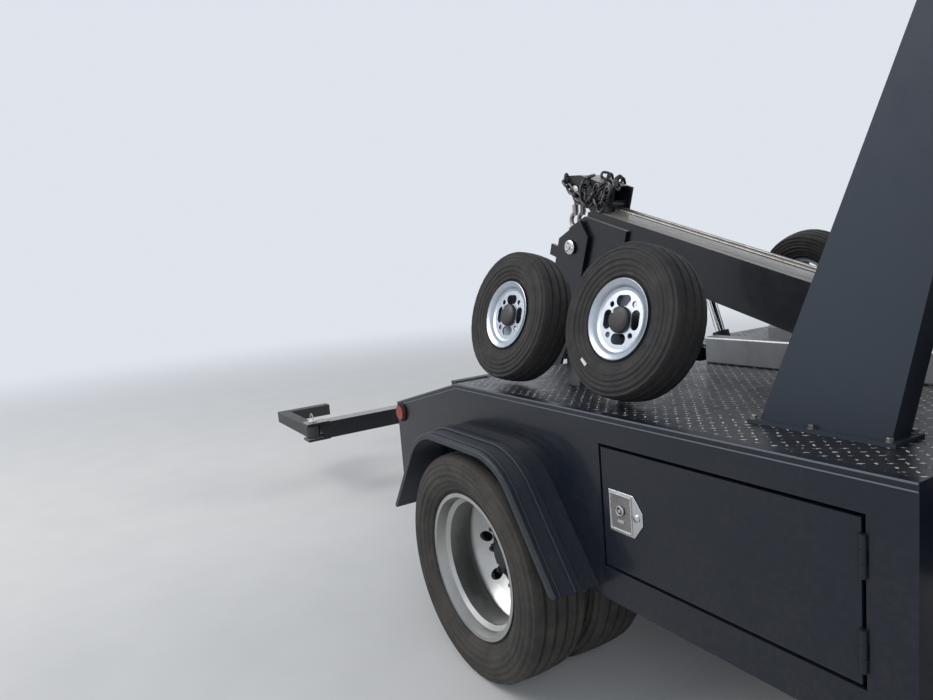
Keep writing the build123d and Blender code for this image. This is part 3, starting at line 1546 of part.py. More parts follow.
with BuildPart() as front_bumper:
    bumper_rear_x = front_x - bumper_depth + fit_gap
    bumper_plan = [
        (bumper_rear_x, -bumper_half), (bumper_rear_x, bumper_half),
        (front_x - bumper_sweep, bumper_half), (front_x, bumper_half - 2 * bumper_sweep),
        (front_x, -bumper_half + 2 * bumper_sweep), (front_x - bumper_sweep, -bumper_half),
    ]
    for inset, low, high, mode in (
        (0, bumper_low, bumper_high, Mode.ADD),
        (bumper_wall, bumper_low - 5, bumper_high - bumper_wall, Mode.SUBTRACT),
    ):
        with BuildSketch(Plane.XY.offset(low)):
            rounded_outline(bumper_plan, [(point, 40) for point in bumper_plan[2:]], inset)
        extrude(amount=high - low, mode=mode)
    block(
        (bumper_rear_x - 5, bumper_rear_x + bumper_wall + 1),
        (-bumper_half + bumper_wall, bumper_half - bumper_wall),
        (bumper_low - 5, bumper_high - bumper_wall), mode=Mode.SUBTRACT,
    )
    fillet(front_bumper.edges().filter_by(Axis.Y).group_by(Axis.X)[-1], 24)
    bolt_z = (bumper_low + bumper_high) / 2
    with Locations(*[
        Location((front_x - 15, side * plate_pitch / 2, bolt_z), (0, 90, 0)) for side in (1, -1)
    ]):
        Cylinder(plate_hole, 60, mode=Mode.SUBTRACT)
    for side in (1, -1):
        y_pair = sorted((side * (rail_half - rail_flange), side * rail_half))
        block((bumper_rear_x, front_x - 20), y_pair, (rail_mid - 60, bumper_high - 20))
save(front_bumper, "front_bumper")

# Lamps of the body: a round marker at the rear of each side and two ovals in the tail panel
marker_x = body_rear_x + 47
marker_z = 836
with BuildPart() as body_lamps:
    for side in (1, -1):
        y_pair = sorted((side * (body_half + fit_gap), side * (body_half + fit_gap + 16)))
        cross_rod(marker_x, marker_z, *y_pair, marker_radius)
        with BuildSketch(Plane.YZ.offset(body_rear_x - fit_gap)) as tail:
            for y in (500, 800):
                with Locations((side * y, (body_rear_low + body_rear_top) / 2)):
                    SlotOverall(tail_lamp_length, tail_lamp_height)
        extrude(tail.sketch, amount=-14)
save(body_lamps, "body_lamps")
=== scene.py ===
import json
import math
import random

import bmesh
import bpy
from mathutils import Matrix, Vector
from mathutils.geometry import delaunay_2d_cdt
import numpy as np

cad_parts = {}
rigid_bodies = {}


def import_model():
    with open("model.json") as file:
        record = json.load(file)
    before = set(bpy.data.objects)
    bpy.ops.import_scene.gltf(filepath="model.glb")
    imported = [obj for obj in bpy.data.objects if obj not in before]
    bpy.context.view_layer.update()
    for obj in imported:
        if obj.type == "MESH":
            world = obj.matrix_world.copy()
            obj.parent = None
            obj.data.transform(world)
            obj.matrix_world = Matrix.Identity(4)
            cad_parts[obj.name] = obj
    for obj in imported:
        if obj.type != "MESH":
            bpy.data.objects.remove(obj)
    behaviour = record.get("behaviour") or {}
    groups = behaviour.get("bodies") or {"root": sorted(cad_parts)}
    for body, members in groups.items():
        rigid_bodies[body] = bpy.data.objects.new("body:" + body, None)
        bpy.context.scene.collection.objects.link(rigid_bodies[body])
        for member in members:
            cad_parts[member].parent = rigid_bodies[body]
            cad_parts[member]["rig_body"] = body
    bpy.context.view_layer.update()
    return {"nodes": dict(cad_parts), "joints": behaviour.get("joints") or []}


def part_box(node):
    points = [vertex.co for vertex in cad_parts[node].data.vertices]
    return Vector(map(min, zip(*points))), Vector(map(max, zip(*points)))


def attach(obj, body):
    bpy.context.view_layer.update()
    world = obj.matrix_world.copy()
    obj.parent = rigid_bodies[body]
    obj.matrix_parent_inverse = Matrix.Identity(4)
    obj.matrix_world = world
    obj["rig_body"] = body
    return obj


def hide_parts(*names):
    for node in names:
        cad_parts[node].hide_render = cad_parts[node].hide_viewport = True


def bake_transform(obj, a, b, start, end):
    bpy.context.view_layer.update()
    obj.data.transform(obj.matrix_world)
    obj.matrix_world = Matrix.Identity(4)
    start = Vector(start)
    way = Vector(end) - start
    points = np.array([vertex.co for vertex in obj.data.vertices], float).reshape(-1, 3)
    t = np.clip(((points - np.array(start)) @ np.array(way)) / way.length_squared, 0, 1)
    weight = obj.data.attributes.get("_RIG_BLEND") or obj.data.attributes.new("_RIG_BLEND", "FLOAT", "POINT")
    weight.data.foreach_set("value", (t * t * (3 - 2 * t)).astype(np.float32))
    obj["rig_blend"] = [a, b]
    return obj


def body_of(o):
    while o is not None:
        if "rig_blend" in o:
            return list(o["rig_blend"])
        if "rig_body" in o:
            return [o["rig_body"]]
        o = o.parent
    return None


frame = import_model()
random.seed(7)

NODES = frame["nodes"]
JOINTS = {j["name"]: j for j in frame["joints"]}


def middle(node):
    low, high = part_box(node)
    return (low + high) / 2


AXLE = middle("rear_tyres_right").x
TYRE_R = middle("rear_tyres_right").z


def at(x, y, z):
    """A point given from the rear axle, in metres."""
    return Vector((x + AXLE, y, z))


# Camera, at the photograph's place and angle

YAW, PITCH, ROLL = 0.5344, 0.1264, -0.0816
FOCAL_PX, PHOTO_W = 699.02, 933
look = Vector((-math.cos(YAW) * math.cos(PITCH), math.sin(YAW) * math.cos(PITCH), -math.sin(PITCH)))
right0 = look.cross(Vector((0, 0, 1))).normalized()
up0 = right0.cross(look)
cam_right = math.cos(ROLL) * right0 + math.sin(ROLL) * up0
cam_up = -math.sin(ROLL) * right0 + math.cos(ROLL) * up0
camera = bpy.data.objects.new("camera", bpy.data.cameras.new("camera"))
bpy.context.scene.collection.objects.link(camera)
camera.data.sensor_fit = "HORIZONTAL"
camera.data.sensor_width = 36
camera.data.lens = FOCAL_PX * 36 / PHOTO_W
camera.data.clip_start = 0.02
camera.data.clip_end = 200
turn = Matrix((cam_right, cam_up, -look)).transposed().to_4x4()
camera.matrix_world = Matrix.Translation(at(2.0466, -2.3093, 1.4717)) @ turn
bpy.context.scene.camera = camera


# Materials

def material(name):
    made = bpy.data.materials.new(name)
    made.use_nodes = True
    tree = made.node_tree
    shader = tree.nodes["Principled BSDF"]
    return made, tree, shader


def node(tree, kind, **values):
    made = tree.nodes.new(kind)
    for key, value in values.items():
        if key.startswith("in_"):
            name = key[3:].replace("_", " ")
            socket = made.inputs.get(name) or made.inputs[int(name)]
            socket.default_value = value
        else:
            setattr(made, key, value)
    return made


def object_coords(tree, scale=(1, 1, 1)):
    coords = node(tree, "ShaderNodeTexCoord")
    mapping = node(tree, "ShaderNodeMapping")
    mapping.inputs["Scale"].default_value = scale
    tree.links.new(coords.outputs["Object"], mapping.inputs["Vector"])
    return mapping.outputs["Vector"]


def noise(tree, scale, detail=4, stretch=(1, 1, 1), rough=0.55):
    made = node(tree, "ShaderNodeTexNoise")
    made.inputs["Scale"].default_value = scale
    made.inputs["Detail"].default_value = detail
    made.inputs["Roughness"].default_value = rough
    tree.links.new(object_coords(tree, stretch), made.inputs["Vector"])
    return made.outputs["Fac"]


def ramp(tree, value, stops):
    made = node(tree, "ShaderNodeValToRGB")
    parts = made.color_ramp.elements
    while len(parts) < len(stops):
        parts.new(0.5)
    for part, (place, colour) in zip(parts, stops):
        part.position = place
        part.color = (*colour, 1) if len(colour) == 3 else colour
    tree.links.new(value, made.inputs["Fac"])
    return made.outputs["Color"]


def grey(value):
    return (value, value, value)


def maths(tree, operation, a, b):
    made = node(tree, "ShaderNodeMath", operation=operation, use_clamp=True)
    for place, value in enumerate((a, b)):
        if isinstance(value, (int, float)):
            made.inputs[place].default_value = value
        else:
            tree.links.new(value, made.inputs[place])
    return made.outputs[0]


def mix(tree, factor, a, b):
    made = node(tree, "ShaderNodeMix", data_type="RGBA")
    for socket, value in ((made.inputs[0], factor), (made.inputs[6], a), (made.inputs[7], b)):
        if isinstance(value, (int, float)):
            socket.default_value = value
        elif isinstance(value, tuple):
            socket.default_value = (*value, 1)
        else:
            tree.links.new(value, socket)
    return made.outputs[2]


def bump(tree, shader, height, strength, distance):
    made = node(tree, "ShaderNodeBump")
    made.inputs["Strength"].default_value = strength
    made.inputs["Distance"].default_value = distance
    tree.links.new(height, made.inputs["Height"])
    tree.links.new(made.outputs["Normal"], shader.inputs["Normal"])


def height_mask(tree, low, high):
    """1 below low and 0 above high, in metres above the ground."""
    coords = node(tree, "ShaderNodeTexCoord")
    split = node(tree, "ShaderNodeSeparateXYZ")
    tree.links.new(coords.outputs["Object"], split.inputs[0])
    made = node(tree, "ShaderNodeMapRange")
    made.inputs["From Min"].default_value = low
    made.inputs["From Max"].default_value = high
    made.inputs["To Min"].default_value = 1
    made.inputs["To Max"].default_value = 0
    tree.links.new(split.outputs["Z"], made.inputs["Value"])
    return made.outputs[0]


def painted(
    name, colour, rough, coat=0.0, dust=0.35, wear=0.0, metal=0.0, dust_low=0.3, dust_high=1.1,
    dusty=(0.075, 0.070, 0.064), shine=0.5, top=None,
):
    made, tree, shader = material(name)
    dirt = ramp(tree, noise(tree, 7, 8, rough=0.65), [(0.42, grey(0)), (0.75, grey(1))])
    fine = ramp(tree, noise(tree, 60, 6, rough=0.7), [(0.45, grey(0.2)), (0.7, grey(1))])
    mask = maths(tree, "MULTIPLY", maths(tree, "MULTIPLY", dirt, fine), dust)
    low = maths(tree, "MULTIPLY", height_mask(tree, dust_low, dust_high), fine)
    mask = maths(tree, "ADD", mask, maths(tree, "MULTIPLY", low, dust))
    base = mix(tree, mask, colour, dusty)
    if wear:
        scratch = ramp(tree, noise(tree, 35, 5, (1, 1, 9), 0.8), [(0.68, grey(0)), (0.74, grey(1))])
        base = mix(tree, maths(tree, "MULTIPLY", scratch, wear), base, (0.30, 0.29, 0.28))
    # Faces that point up are lightened: partly dust settled on top, partly a painted sheen of the light from above.
    if top:
        facing = node(tree, "ShaderNodeSeparateXYZ")
        tree.links.new(node(tree, "ShaderNodeTexCoord").outputs["Normal"], facing.inputs[0])
        top_dust_and_sheen = ramp(tree, facing.outputs["Z"], [(0.86, grey(0)), (0.93, grey(1))])
        streaks = ramp(tree, noise(tree, 9, 7, (0.3, 3, 1), 0.7), [(0.3, grey(0.55)), (0.7, grey(1))])
        base = mix(tree, maths(tree, "MULTIPLY", top_dust_and_sheen, streaks), base, top)
    tree.links.new(base, shader.inputs["Base Color"])
    rough_map = ramp(tree, noise(tree, 22, 5), [(0.3, grey(rough * 0.85)), (0.8, grey(min(1, rough * 1.25)))])
    rough_map = mix(tree, mask, rough_map, (0.8, 0.8, 0.8))
    tree.links.new(rough_map, shader.inputs["Roughness"])
    shader.inputs["Metallic"].default_value = metal
    shader.inputs["Coat Weight"].default_value = coat
    shader.inputs["Coat Roughness"].default_value = 0.08
    shader.inputs["Specular IOR Level"].default_value = shine
    bump(tree, shader, noise(tree, 420, 2), 0.05, 0.0006)
    return made


def diamond_plate(name, colour, rough, pitch=0.027):
    """Painted tread plate: raised lozenges, turned a quarter from each to the next, bright on top from wear and from
    painted highlights.
    """
    made, tree, shader = material(name)
    coords = node(tree, "ShaderNodeTexCoord")
    turned_45 = node(tree, "ShaderNodeMapping")
    turned_45.inputs["Rotation"].default_value = (0, 0, math.radians(45))
    turned_45.inputs["Scale"].default_value = (1 / pitch, 1 / pitch, 0)
    tree.links.new(coords.outputs["Object"], turned_45.inputs["Vector"])
    split = node(tree, "ShaderNodeSeparateXYZ")
    tree.links.new(turned_45.outputs["Vector"], split.inputs[0])

    def step(operation, a, b=0.0, clamp=False):
        made_node = node(tree, "ShaderNodeMath", operation=operation, use_clamp=clamp)
        for place, value in enumerate((a, b)):
            if isinstance(value, (int, float)):
                made_node.inputs[place].default_value = value
            else:
                tree.links.new(value, made_node.inputs[place])
        return made_node.outputs[0]

    u, v = split.outputs["X"], split.outputs["Y"]
    parity = step("FLOORED_MODULO", step("ADD", step("FLOOR", u), step("FLOOR", v)), 2)
    a = step("ABSOLUTE", step("SUBTRACT", step("FRACT", u), 0.5))
    b = step("ABSOLUTE", step("SUBTRACT", step("FRACT", v), 0.5))
    swapped = step("SUBTRACT", 1, parity)
    long_way = step("ADD", step("MULTIPLY", a, parity), step("MULTIPLY", b, swapped))
    short_way = step("ADD", step("MULTIPLY", b, parity), step("MULTIPLY", a, swapped))
    lozenge = step(
        "SUBTRACT", 1, step("ADD", step("DIVIDE", long_way, 0.46), step("DIVIDE", short_way, 0.17))
    )
    height = step("MULTIPLY", lozenge, 2.2, True)
    # The raised tops are painted near-white in speckles: partly worn bare metal, partly painted highlights on the
    # lozenges.
    worn = step("MULTIPLY", step("GREATER_THAN", height, 0.55), ramp(
        tree, noise(tree, 5, 6, rough=0.75), [(0.33, grey(0.45)), (0.58, grey(1))]
    ))
    speck = ramp(tree, noise(tree, 90, 3), [(0.44, grey(0)), (0.54, grey(1))])
    worn = step("MULTIPLY", worn, speck)
    dirt = ramp(tree, noise(tree, 6, 8, rough=0.7), [(0.42, grey(0)), (0.8, grey(0.55))])
    base = mix(tree, dirt, colour, (0.060, 0.056, 0.050))
    tree.links.new(mix(tree, worn, base, (0.80, 0.82, 0.86)), shader.inputs["Base Color"])
    tree.links.new(
        mix(tree, worn, ramp(tree, noise(tree, 18, 5), [(0.3, grey(rough * 0.8)), (0.8, grey(rough * 1.3))]),
            grey(0.28)), shader.inputs["Roughness"],
    )
    shader.inputs["Specular IOR Level"].default_value = 0.4
    bump(tree, shader, height, 0.9, 0.0014)
    return made


def bare_metal(name, colour, rough, streak=(1, 1, 1), dirt=0.3, rust=0.0):
    made, tree, shader = material(name)
    lines = noise(tree, 34, 3, streak, 0.5)
    grime = ramp(tree, noise(tree, 11, 5, rough=0.6), [(0.35, grey(0)), (0.85, grey(1))])
    base = mix(tree, maths(tree, "MULTIPLY", grime, dirt), colour, tuple(0.35 * c for c in colour))
    if rust:
        spots = ramp(tree, noise(tree, 26, 8, rough=0.75), [(0.5, grey(0)), (0.62, grey(1))])
        base = mix(tree, maths(tree, "MULTIPLY", spots, rust), base, (0.20, 0.075, 0.03))
    tree.links.new(base, shader.inputs["Base Color"])
    shader.inputs["Metallic"].default_value = 1
    tree.links.new(
        ramp(tree, lines, [(0.3, grey(rough * 0.88)), (0.75, grey(min(1, rough * 1.18)))]),
        shader.inputs["Roughness"],
    )
    return made


def rubber(name, colour=(0.018, 0.018, 0.019), film=0.3):
    made, tree, shader = material(name)
    dusty = ramp(tree, noise(tree, 9, 8, rough=0.7), [(0.4, grey(0)), (0.8, grey(1))])
    base = mix(tree, maths(tree, "MULTIPLY", dusty, film), colour, (0.095, 0.086, 0.075))
    tree.links.new(base, shader.inputs["Base Color"])
    tree.links.new(ramp(tree, noise(tree, 30), [(0.3, grey(0.62)), (0.8, grey(0.85))]), shader.inputs["Roughness"])
    shader.inputs["Specular IOR Level"].default_value = 0.35
    bump(tree, shader, noise(tree, 300, 4), 0.25, 0.0007)
    return made


def plastic(name, colour, rough, grain=0.0, scale=500):
    made, tree, shader = material(name)
    spread = ramp(tree, noise(tree, 12, 6), [(0.35, grey(0)), (0.8, grey(1))])
    tree.links.new(
        mix(tree, maths(tree, "MULTIPLY", spread, 0.3), colour, tuple(0.6 * c + 0.04 for c in colour)),
        shader.inputs["Base Color"],
    )
    shader.inputs["Roughness"].default_value = rough
    if grain:
        bump(tree, shader, noise(tree, scale, 3), grain, 0.0006)
    return made


def lens(name, colour, clear=0.6):
    made, tree, shader = material(name)
    waves = node(tree, "ShaderNodeTexWave", wave_type="BANDS", bands_direction="Y")
    waves.inputs["Scale"].default_value = 60
    tree.links.new(object_coords(tree), waves.inputs["Vector"])
    tint = mix(tree, ramp(tree, noise(tree, 20), [(0.3, grey(0)), (0.8, grey(0.5))]), colour,
               tuple(0.55 * c for c in colour))
    tree.links.new(tint, shader.inputs["Base Color"])
    shader.inputs["Roughness"].default_value = 0.12
    shader.inputs["Transmission Weight"].default_value = clear
    bump(tree, shader, waves.outputs["Fac"], 0.35, 0.0012)
    return made


def window_glass(name):
    made, tree, shader = material(name)
    haze = ramp(tree, noise(tree, 6, 6), [(0.3, grey(0.02)), (0.85, grey(0.09))])
    tree.links.new(haze, shader.inputs["Roughness"])
    shader.inputs["Base Color"].default_value = (0.42, 0.50, 0.50, 1)
    shader.inputs["Transmission Weight"].default_value = 0.96
    shader.inputs["IOR"].default_value = 1.45
    return made


def woven(name, colour):
    made, tree, shader = material(name)
    warp = node(tree, "ShaderNodeTexWave", wave_type="BANDS", bands_direction="X")
    weft = node(tree, "ShaderNodeTexWave", wave_type="BANDS", bands_direction="Y")
    for wave in (warp, weft):
        wave.inputs["Scale"].default_value = 260
        wave.inputs["Distortion"].default_value = 0.6
        tree.links.new(object_coords(tree), wave.inputs["Vector"])
    cloth = maths(tree, "MULTIPLY", warp.outputs["Fac"], weft.outputs["Fac"])
    tree.links.new(mix(tree, cloth, tuple(0.6 * c for c in colour), colour), shader.inputs["Base Color"])
    shader.inputs["Roughness"].default_value = 0.9
    shader.inputs["Sheen Weight"].default_value = 0.4
    bump(tree, shader, cloth, 0.4, 0.0008)
    return made


MAT = {
    "paint": painted("paint_black", (0.0060, 0.0090, 0.0170), 0.30, coat=0.18, dust=0.16, shine=0.3),
    "deck": diamond_plate("deck_plate", (0.010, 0.012, 0.017), 0.36),
    # Lighter strip colour for the deck edge: worn paint, and a painted highlight along the edge.
    "edge": painted("edge_wear_and_highlight", (0.110, 0.125, 0.150), 0.40, dust=0.1, wear=0.5, dust_low=-1, dust_high=-0.5),
    "flare": painted("flare_black", (0.013, 0.017, 0.026), 0.42, dust=0.22, shine=0.45),
    "pylon": painted("pylon_grey", (0.030, 0.040, 0.056), 0.50, dust=0.08, shine=0.35),
    "chassis": painted("chassis_black", (0.010, 0.010, 0.011), 0.55, dust=0.75, dust_low=0.2, dust_high=1.0),
    # The boom's top faces get a lighter colour: dust, and a painted sheen of the light from above.
    "boom": painted("boom_black", (0.007, 0.009, 0.014), 0.34, coat=0.2, dust=0.16, wear=0.10, shine=0.35,
                    top=(0.30, 0.29, 0.275)),
    "worn": painted("worn_steel", (0.055, 0.055, 0.058), 0.45, dust=0.4, wear=0.6, metal=0.6),
    "rubber": rubber("tyre_rubber"),
    "road_rubber": rubber("road_tyre_rubber", (0.032, 0.030, 0.028), 0.65),
    "white": plastic("white_mark", (0.62, 0.63, 0.62), 0.6, 0.1),
    "seal": rubber("window_seal", (0.012, 0.012, 0.012)),
    "polished": bare_metal("polished_rim", (0.50, 0.50, 0.49), 0.34, dirt=0.25),
    "silver": bare_metal("silver_rim", (0.46, 0.50, 0.56), 0.34, dirt=0.25),
    "hub": painted("hub_black", (0.014, 0.014, 0.015), 0.45, dust=0.5, dust_low=0.0, dust_high=0.4),
    "stainless": bare_metal("stainless", (0.62, 0.63, 0.64), 0.24, (1, 1, 14), dirt=0.12),
    "chrome": bare_metal("chrome", (0.86, 0.86, 0.87), 0.08, dirt=0.08),
    "tube": bare_metal("galvanised_tube", (0.42, 0.43, 0.45), 0.42, (14, 1, 1), dirt=0.4),
    "steel": bare_metal("bare_steel", (0.36, 0.35, 0.34), 0.42, dirt=0.5, rust=0.25),
    "chain": bare_metal("chain_steel", (0.10, 0.10, 0.105), 0.45, dirt=0.6, rust=0.15),
    "rope": bare_metal("wire_rope", (0.34, 0.33, 0.31), 0.45, dirt=0.6, rust=0.15),
    "engine": bare_metal("cast_engine", (0.16, 0.16, 0.16), 0.6, dirt=0.7, rust=0.2),
    "glass": window_glass("window_glass"),
    "red": lens("lens_red", (0.55, 0.012, 0.010)),
    "amber": lens("lens_amber", (0.80, 0.24, 0.01)),
    "clear": lens("lens_clear", (0.85, 0.87, 0.88), 0.75),
    "seat": woven("seat_cloth", (0.10, 0.105, 0.115)),
    "dash": plastic("dash_plastic", (0.030, 0.031, 0.034), 0.6, 0.25),
    "trim": plastic("trim_black", (0.014, 0.014, 0.015), 0.55, 0.15),
}


def dress(name, key):
    """Gives a CAD node's own mesh one of the finishes."""
    mesh = NODES[name].data
    mesh.materials.clear()
    mesh.materials.append(MAT[key])


LOOK = {
    "frame_rails": "chassis", "front_axle": "chassis", "rear_axle": "chassis", "engine_block": "engine",
    "cab_shell": "paint", "cab_glass": "glass", "front_fenders": "paint", "grille": "trim",
    "headlamps": "clear", "front_bumper": "chrome", "bench_seat": "seat", "dashboard": "dash",
    "body_shell": "paint", "deck": "deck", "fender_flares": "flare", "pylons": "pylon",
    "light_bar": "amber", "boom_foot": "chassis", "dolly_frames": "tube", "hood": "paint",
    "boom_outer": "boom", "winches": "chassis", "winch_ropes": "rope", "boom_inner": "boom",
    "tow_hooks": "steel", "body_lamps": "red", "lift_cylinder": "chassis", "lift_rod": "chrome", "lower_link": "chassis",
    "mast": "boom", "underlift_arm": "boom", "stinger": "worn", "crossbar": "boom",
}
for node_name in NODES:
    key = LOOK.get(node_name)
    if key is None:
        for part, use in (
            ("tyre", "rubber"), ("dolly_rim", "silver"), ("rim", "polished"), ("glass", "glass"),
            ("knuckle", "chassis"), ("l_arm", "worn"), ("door", "paint"),
        ):
            if part in node_name:
                key = use
                break
    dress(node_name, key)


# Mesh building

def piece(name, verts, faces, body, key, smooth=False):
    mesh = bpy.data.meshes.new(name)
    mesh.from_pydata([tuple(v) for v in verts], [], faces)
    mesh.validate()
    bm = bmesh.new()
    bm.from_mesh(mesh)
    bmesh.ops.recalc_face_normals(bm, faces=bm.faces)
    bm.to_mesh(mesh)
    bm.free()
    mesh.materials.append(MAT[key])
    made = bpy.data.objects.new(name, mesh)
    bpy.context.scene.collection.objects.link(made)
    for face in mesh.polygons:
        face.use_smooth = smooth
    if body:
        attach(made, body)
    return made


def bevelled(made, width, segments=2, angle=35):
    bevel = made.modifiers.new("bevel", "BEVEL")
    bevel.width = width
    bevel.segments = segments
    bevel.limit_method = "ANGLE"
    bevel.angle_limit = math.radians(angle)
    bevel.harden_normals = True
    for face in made.data.polygons:
        face.use_smooth = True
    return made


def rounded_copy(name, key, width, segments=2, slot=None):
    """Stands in for a CAD node with the same mesh, cleaned of its triangles, with rounded edges."""
    source = NODES[name]
    mesh = source.data.copy()
    bm = bmesh.new()
    bm.from_mesh(mesh)
    bmesh.ops.remove_doubles(bm, verts=bm.verts, dist=1e-5)
    bmesh.ops.dissolve_limit(bm, angle_limit=math.radians(0.6), verts=bm.verts, edges=bm.edges)
    bm.to_mesh(mesh)
    bm.free()
    mesh.materials.clear()
    mesh.materials.append(MAT[key])
    made = bpy.data.objects.new(name + "_dressed", mesh)
    bpy.context.scene.collection.objects.link(made)
    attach(made, body_of(source))
    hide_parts(name)
    return bevelled(made, width, segments)


# Mesh helpers for the pieces below. Points are given from the rear axle, in metres.

def frame_on(axis):
    """Two directions across an axis."""
    axis = Vector(axis).normalized()
    other = Vector((0, 0, 1)) if abs(axis.z) < 0.9 else Vector((1, 0, 0))
    across = axis.cross(other).normalized()
    return axis, across, axis.cross(across)


def sharpen(made, angle=32):
    mesh = made.data
    for face in mesh.polygons:
        face.use_smooth = True
    mesh.set_sharp_from_angle(angle=math.radians(angle))
    return made


def turned(name, centre, axis, profile, body, key, steps=64, dent=None, closed=True):
    """Turns a profile of (along the axis, radius) points; dent can change a radius by angle."""
    axis, u, v = frame_on(axis)
    verts, faces = [], []
    count = len(profile)
    for i in range(steps):
        angle = 2 * math.pi * i / steps
        for k, (along, radius) in enumerate(profile):
            r = radius + (dent(i, k, along, radius) if dent else 0)
            verts.append(centre + axis * along + (u * math.cos(angle) + v * math.sin(angle)) * r)
    for i in range(steps):
        j = (i + 1) % steps
        for k in range(count if closed else count - 1):
            m = (k + 1) % count
            faces.append((i * count + k, i * count + m, j * count + m, j * count + k))
    return sharpen(piece(name, verts, faces, body, key))


class Parts:
    """Collects many small closed forms into one piece."""

    def __init__(self):
        self.verts, self.faces = [], []

    def add(self, verts, faces):
        base = len(self.verts)
        self.verts += [Vector(v) for v in verts]
        self.faces += [tuple(base + i for i in face) for face in faces]

    def ring_stack(self, rings):
        """Joins rings of equal counts and closes both ends."""
        count = len(rings[0])
        verts = [p for ring in rings for p in ring]
        faces = []
        for r in range(len(rings) - 1):
            for i in range(count):
                j = (i + 1) % count
                faces.append((r * count + i, r * count + j, (r + 1) * count + j, (r + 1) * count + i))
        faces.append(tuple(reversed(range(count))))
        faces.append(tuple((len(rings) - 1) * count + i for i in range(count)))
        self.add(verts, faces)

    def disc_stack(self, centre, axis, profile, sides=6, spin=0.0):
        axis, u, v = frame_on(axis)
        self.ring_stack([
            [centre + axis * along + (u * math.cos(spin + 2 * math.pi * i / sides)
                                      + v * math.sin(spin + 2 * math.pi * i / sides)) * radius
             for i in range(sides)]
            for along, radius in profile
        ])

    def nut(self, centre, axis, size, spin=0.0, stud=True):
        """A hexagon nut on a washer, with the end of its stud."""
        self.disc_stack(centre, axis, [(0, size * 1.35), (size * 0.22, size * 1.35), (size * 0.28, size * 1.2)], 16)
        self.disc_stack(centre, axis, [(size * 0.28, size), (size * 1.15, size), (size * 1.35, size * 0.8)], 6, spin)
        if stud:
            self.disc_stack(centre, axis, [(size * 1.3, size * 0.5), (size * 1.8, size * 0.5), (size * 1.95, size * 0.35)], 10)

    def bolt(self, centre, axis, size, spin=0.0):
        self.nut(centre, axis, size, spin, stud=False)

    def tube(self, path, radius, sides=10, closed=False):
        """A round bar along a path of points, turning with the path."""
        path = [Vector(p) for p in path]
        count = len(path)
        rings, up = [], None
        for i, point in enumerate(path):
            before = path[i - 1] if i or closed else point
            after = path[(i + 1) % count] if i < count - 1 or closed else point
            run = (after - before).normalized()
            if up is None:
                up = frame_on(run)[1]
            up = (up - run * up.dot(run)).normalized()
            side = run.cross(up)
            rings.append([
                point + (up * math.cos(2 * math.pi * k / sides) + side * math.sin(2 * math.pi * k / sides)) * radius
                for k in range(sides)
            ])
        if not closed:
            self.ring_stack(rings)
            return
        faces = []
        for r in range(count):
            n = (r + 1) % count
            for i in range(sides):
                j = (i + 1) % sides
                faces.append((r * sides + i, r * sides + j, n * sides + j, n * sides + i))
        self.add([p for ring in rings for p in ring], faces)

    def plank(self, corners, depth):
        """A flat plate from its corners, depth thick along depth's direction."""
        low = [Vector(c) for c in corners]
        high = [c + Vector(depth) for c in low]
        self.ring_stack([low, high])

    def brick(self, low, high):
        (x0, y0, z0), (x1, y1, z1) = low, high
        self.plank(((x0, y0, z0), (x1, y0, z0), (x1, y1, z0), (x0, y1, z0)), (0, 0, z1 - z0))

    def link(self, centre, along, wide, length, width, bar, sides=8):
        """One oval chain link: along and wide are its directions."""
        along, wide = Vector(along).normalized(), Vector(wide).normalized()
        half = (length - width) / 2
        path = []
        for i in range(16):
            a = 2 * math.pi * i / 16
            x = math.cos(a) * width / 2 + (half if math.cos(a) > 0 else -half)
            path.append(centre + along * x + wide * math.sin(a) * width / 2)
        self.tube(path, bar, sides, closed=True)

    def chain(self, path, length, width, bar):
        """Links laid along a path, each turned a quarter from the last."""
        path = [Vector(p) for p in path]
        lengths = [(b - a).length for a, b in zip(path, path[1:])]
        pitch = length - 2 * bar - 0.001
        total, place, turn_on = sum(lengths), pitch / 2, False
        while place < total:
            rest, k = place, 0
            while rest > lengths[k]:
                rest -= lengths[k]
                k += 1
            run = (path[k + 1] - path[k]).normalized()
            _, u, v = frame_on(run)
            self.link(path[k] + run * rest, run, u if turn_on else v, length, width, bar)
            turn_on = not turn_on
            place += pitch

    def build(self, name, body, key, bevel=0.0, segments=2):
        made = piece(name, self.verts, self.faces, body, key)
        sharpen(made)
        if bevel:
            bevelled(made, bevel, segments)
        return made


def grid_piece(name, rows, body, key, smooth=True):
    """A sheet through rows of points."""
    wide = len(rows[0])
    verts = [p for row in rows for p in row]
    faces = [
        (r * wide + i, r * wide + i + 1, (r + 1) * wide + i + 1, (r + 1) * wide + i)
        for r in range(len(rows) - 1) for i in range(wide - 1)
    ]
    return piece(name, verts, faces, body, key, smooth)


SIDES = (("left", 1), ("right", -1))


# Tyres with ribbed sides and a cut tread

def arc_points(a, b, c, count):
    """Points on the circle through three points, from the first to the last."""
    ax, ay, bx, by, cx, cy = *a, *b, *c
    d = 2 * (ax * (by - cy) + bx * (cy - ay) + cx * (ay - by))
    ux = ((ax * ax + ay * ay) * (by - cy) + (bx * bx + by * by) * (cy - ay) + (cx * cx + cy * cy) * (ay - by)) / d
    uy = ((ax * ax + ay * ay) * (cx - bx) + (bx * bx + by * by) * (ax - cx) + (cx * cx + cy * cy) * (bx - ax)) / d
    start, end = math.atan2(ay - uy, ax - ux), math.atan2(cy - uy, cx - ux)
    radius = math.hypot(ax - ux, ay - uy)
    return [
        (ux + radius * math.cos(start + (end - start) * i / (count - 1)),
         uy + radius * math.sin(start + (end - start) * i / (count - 1)), (ux, uy))
        for i in range(count)
    ]


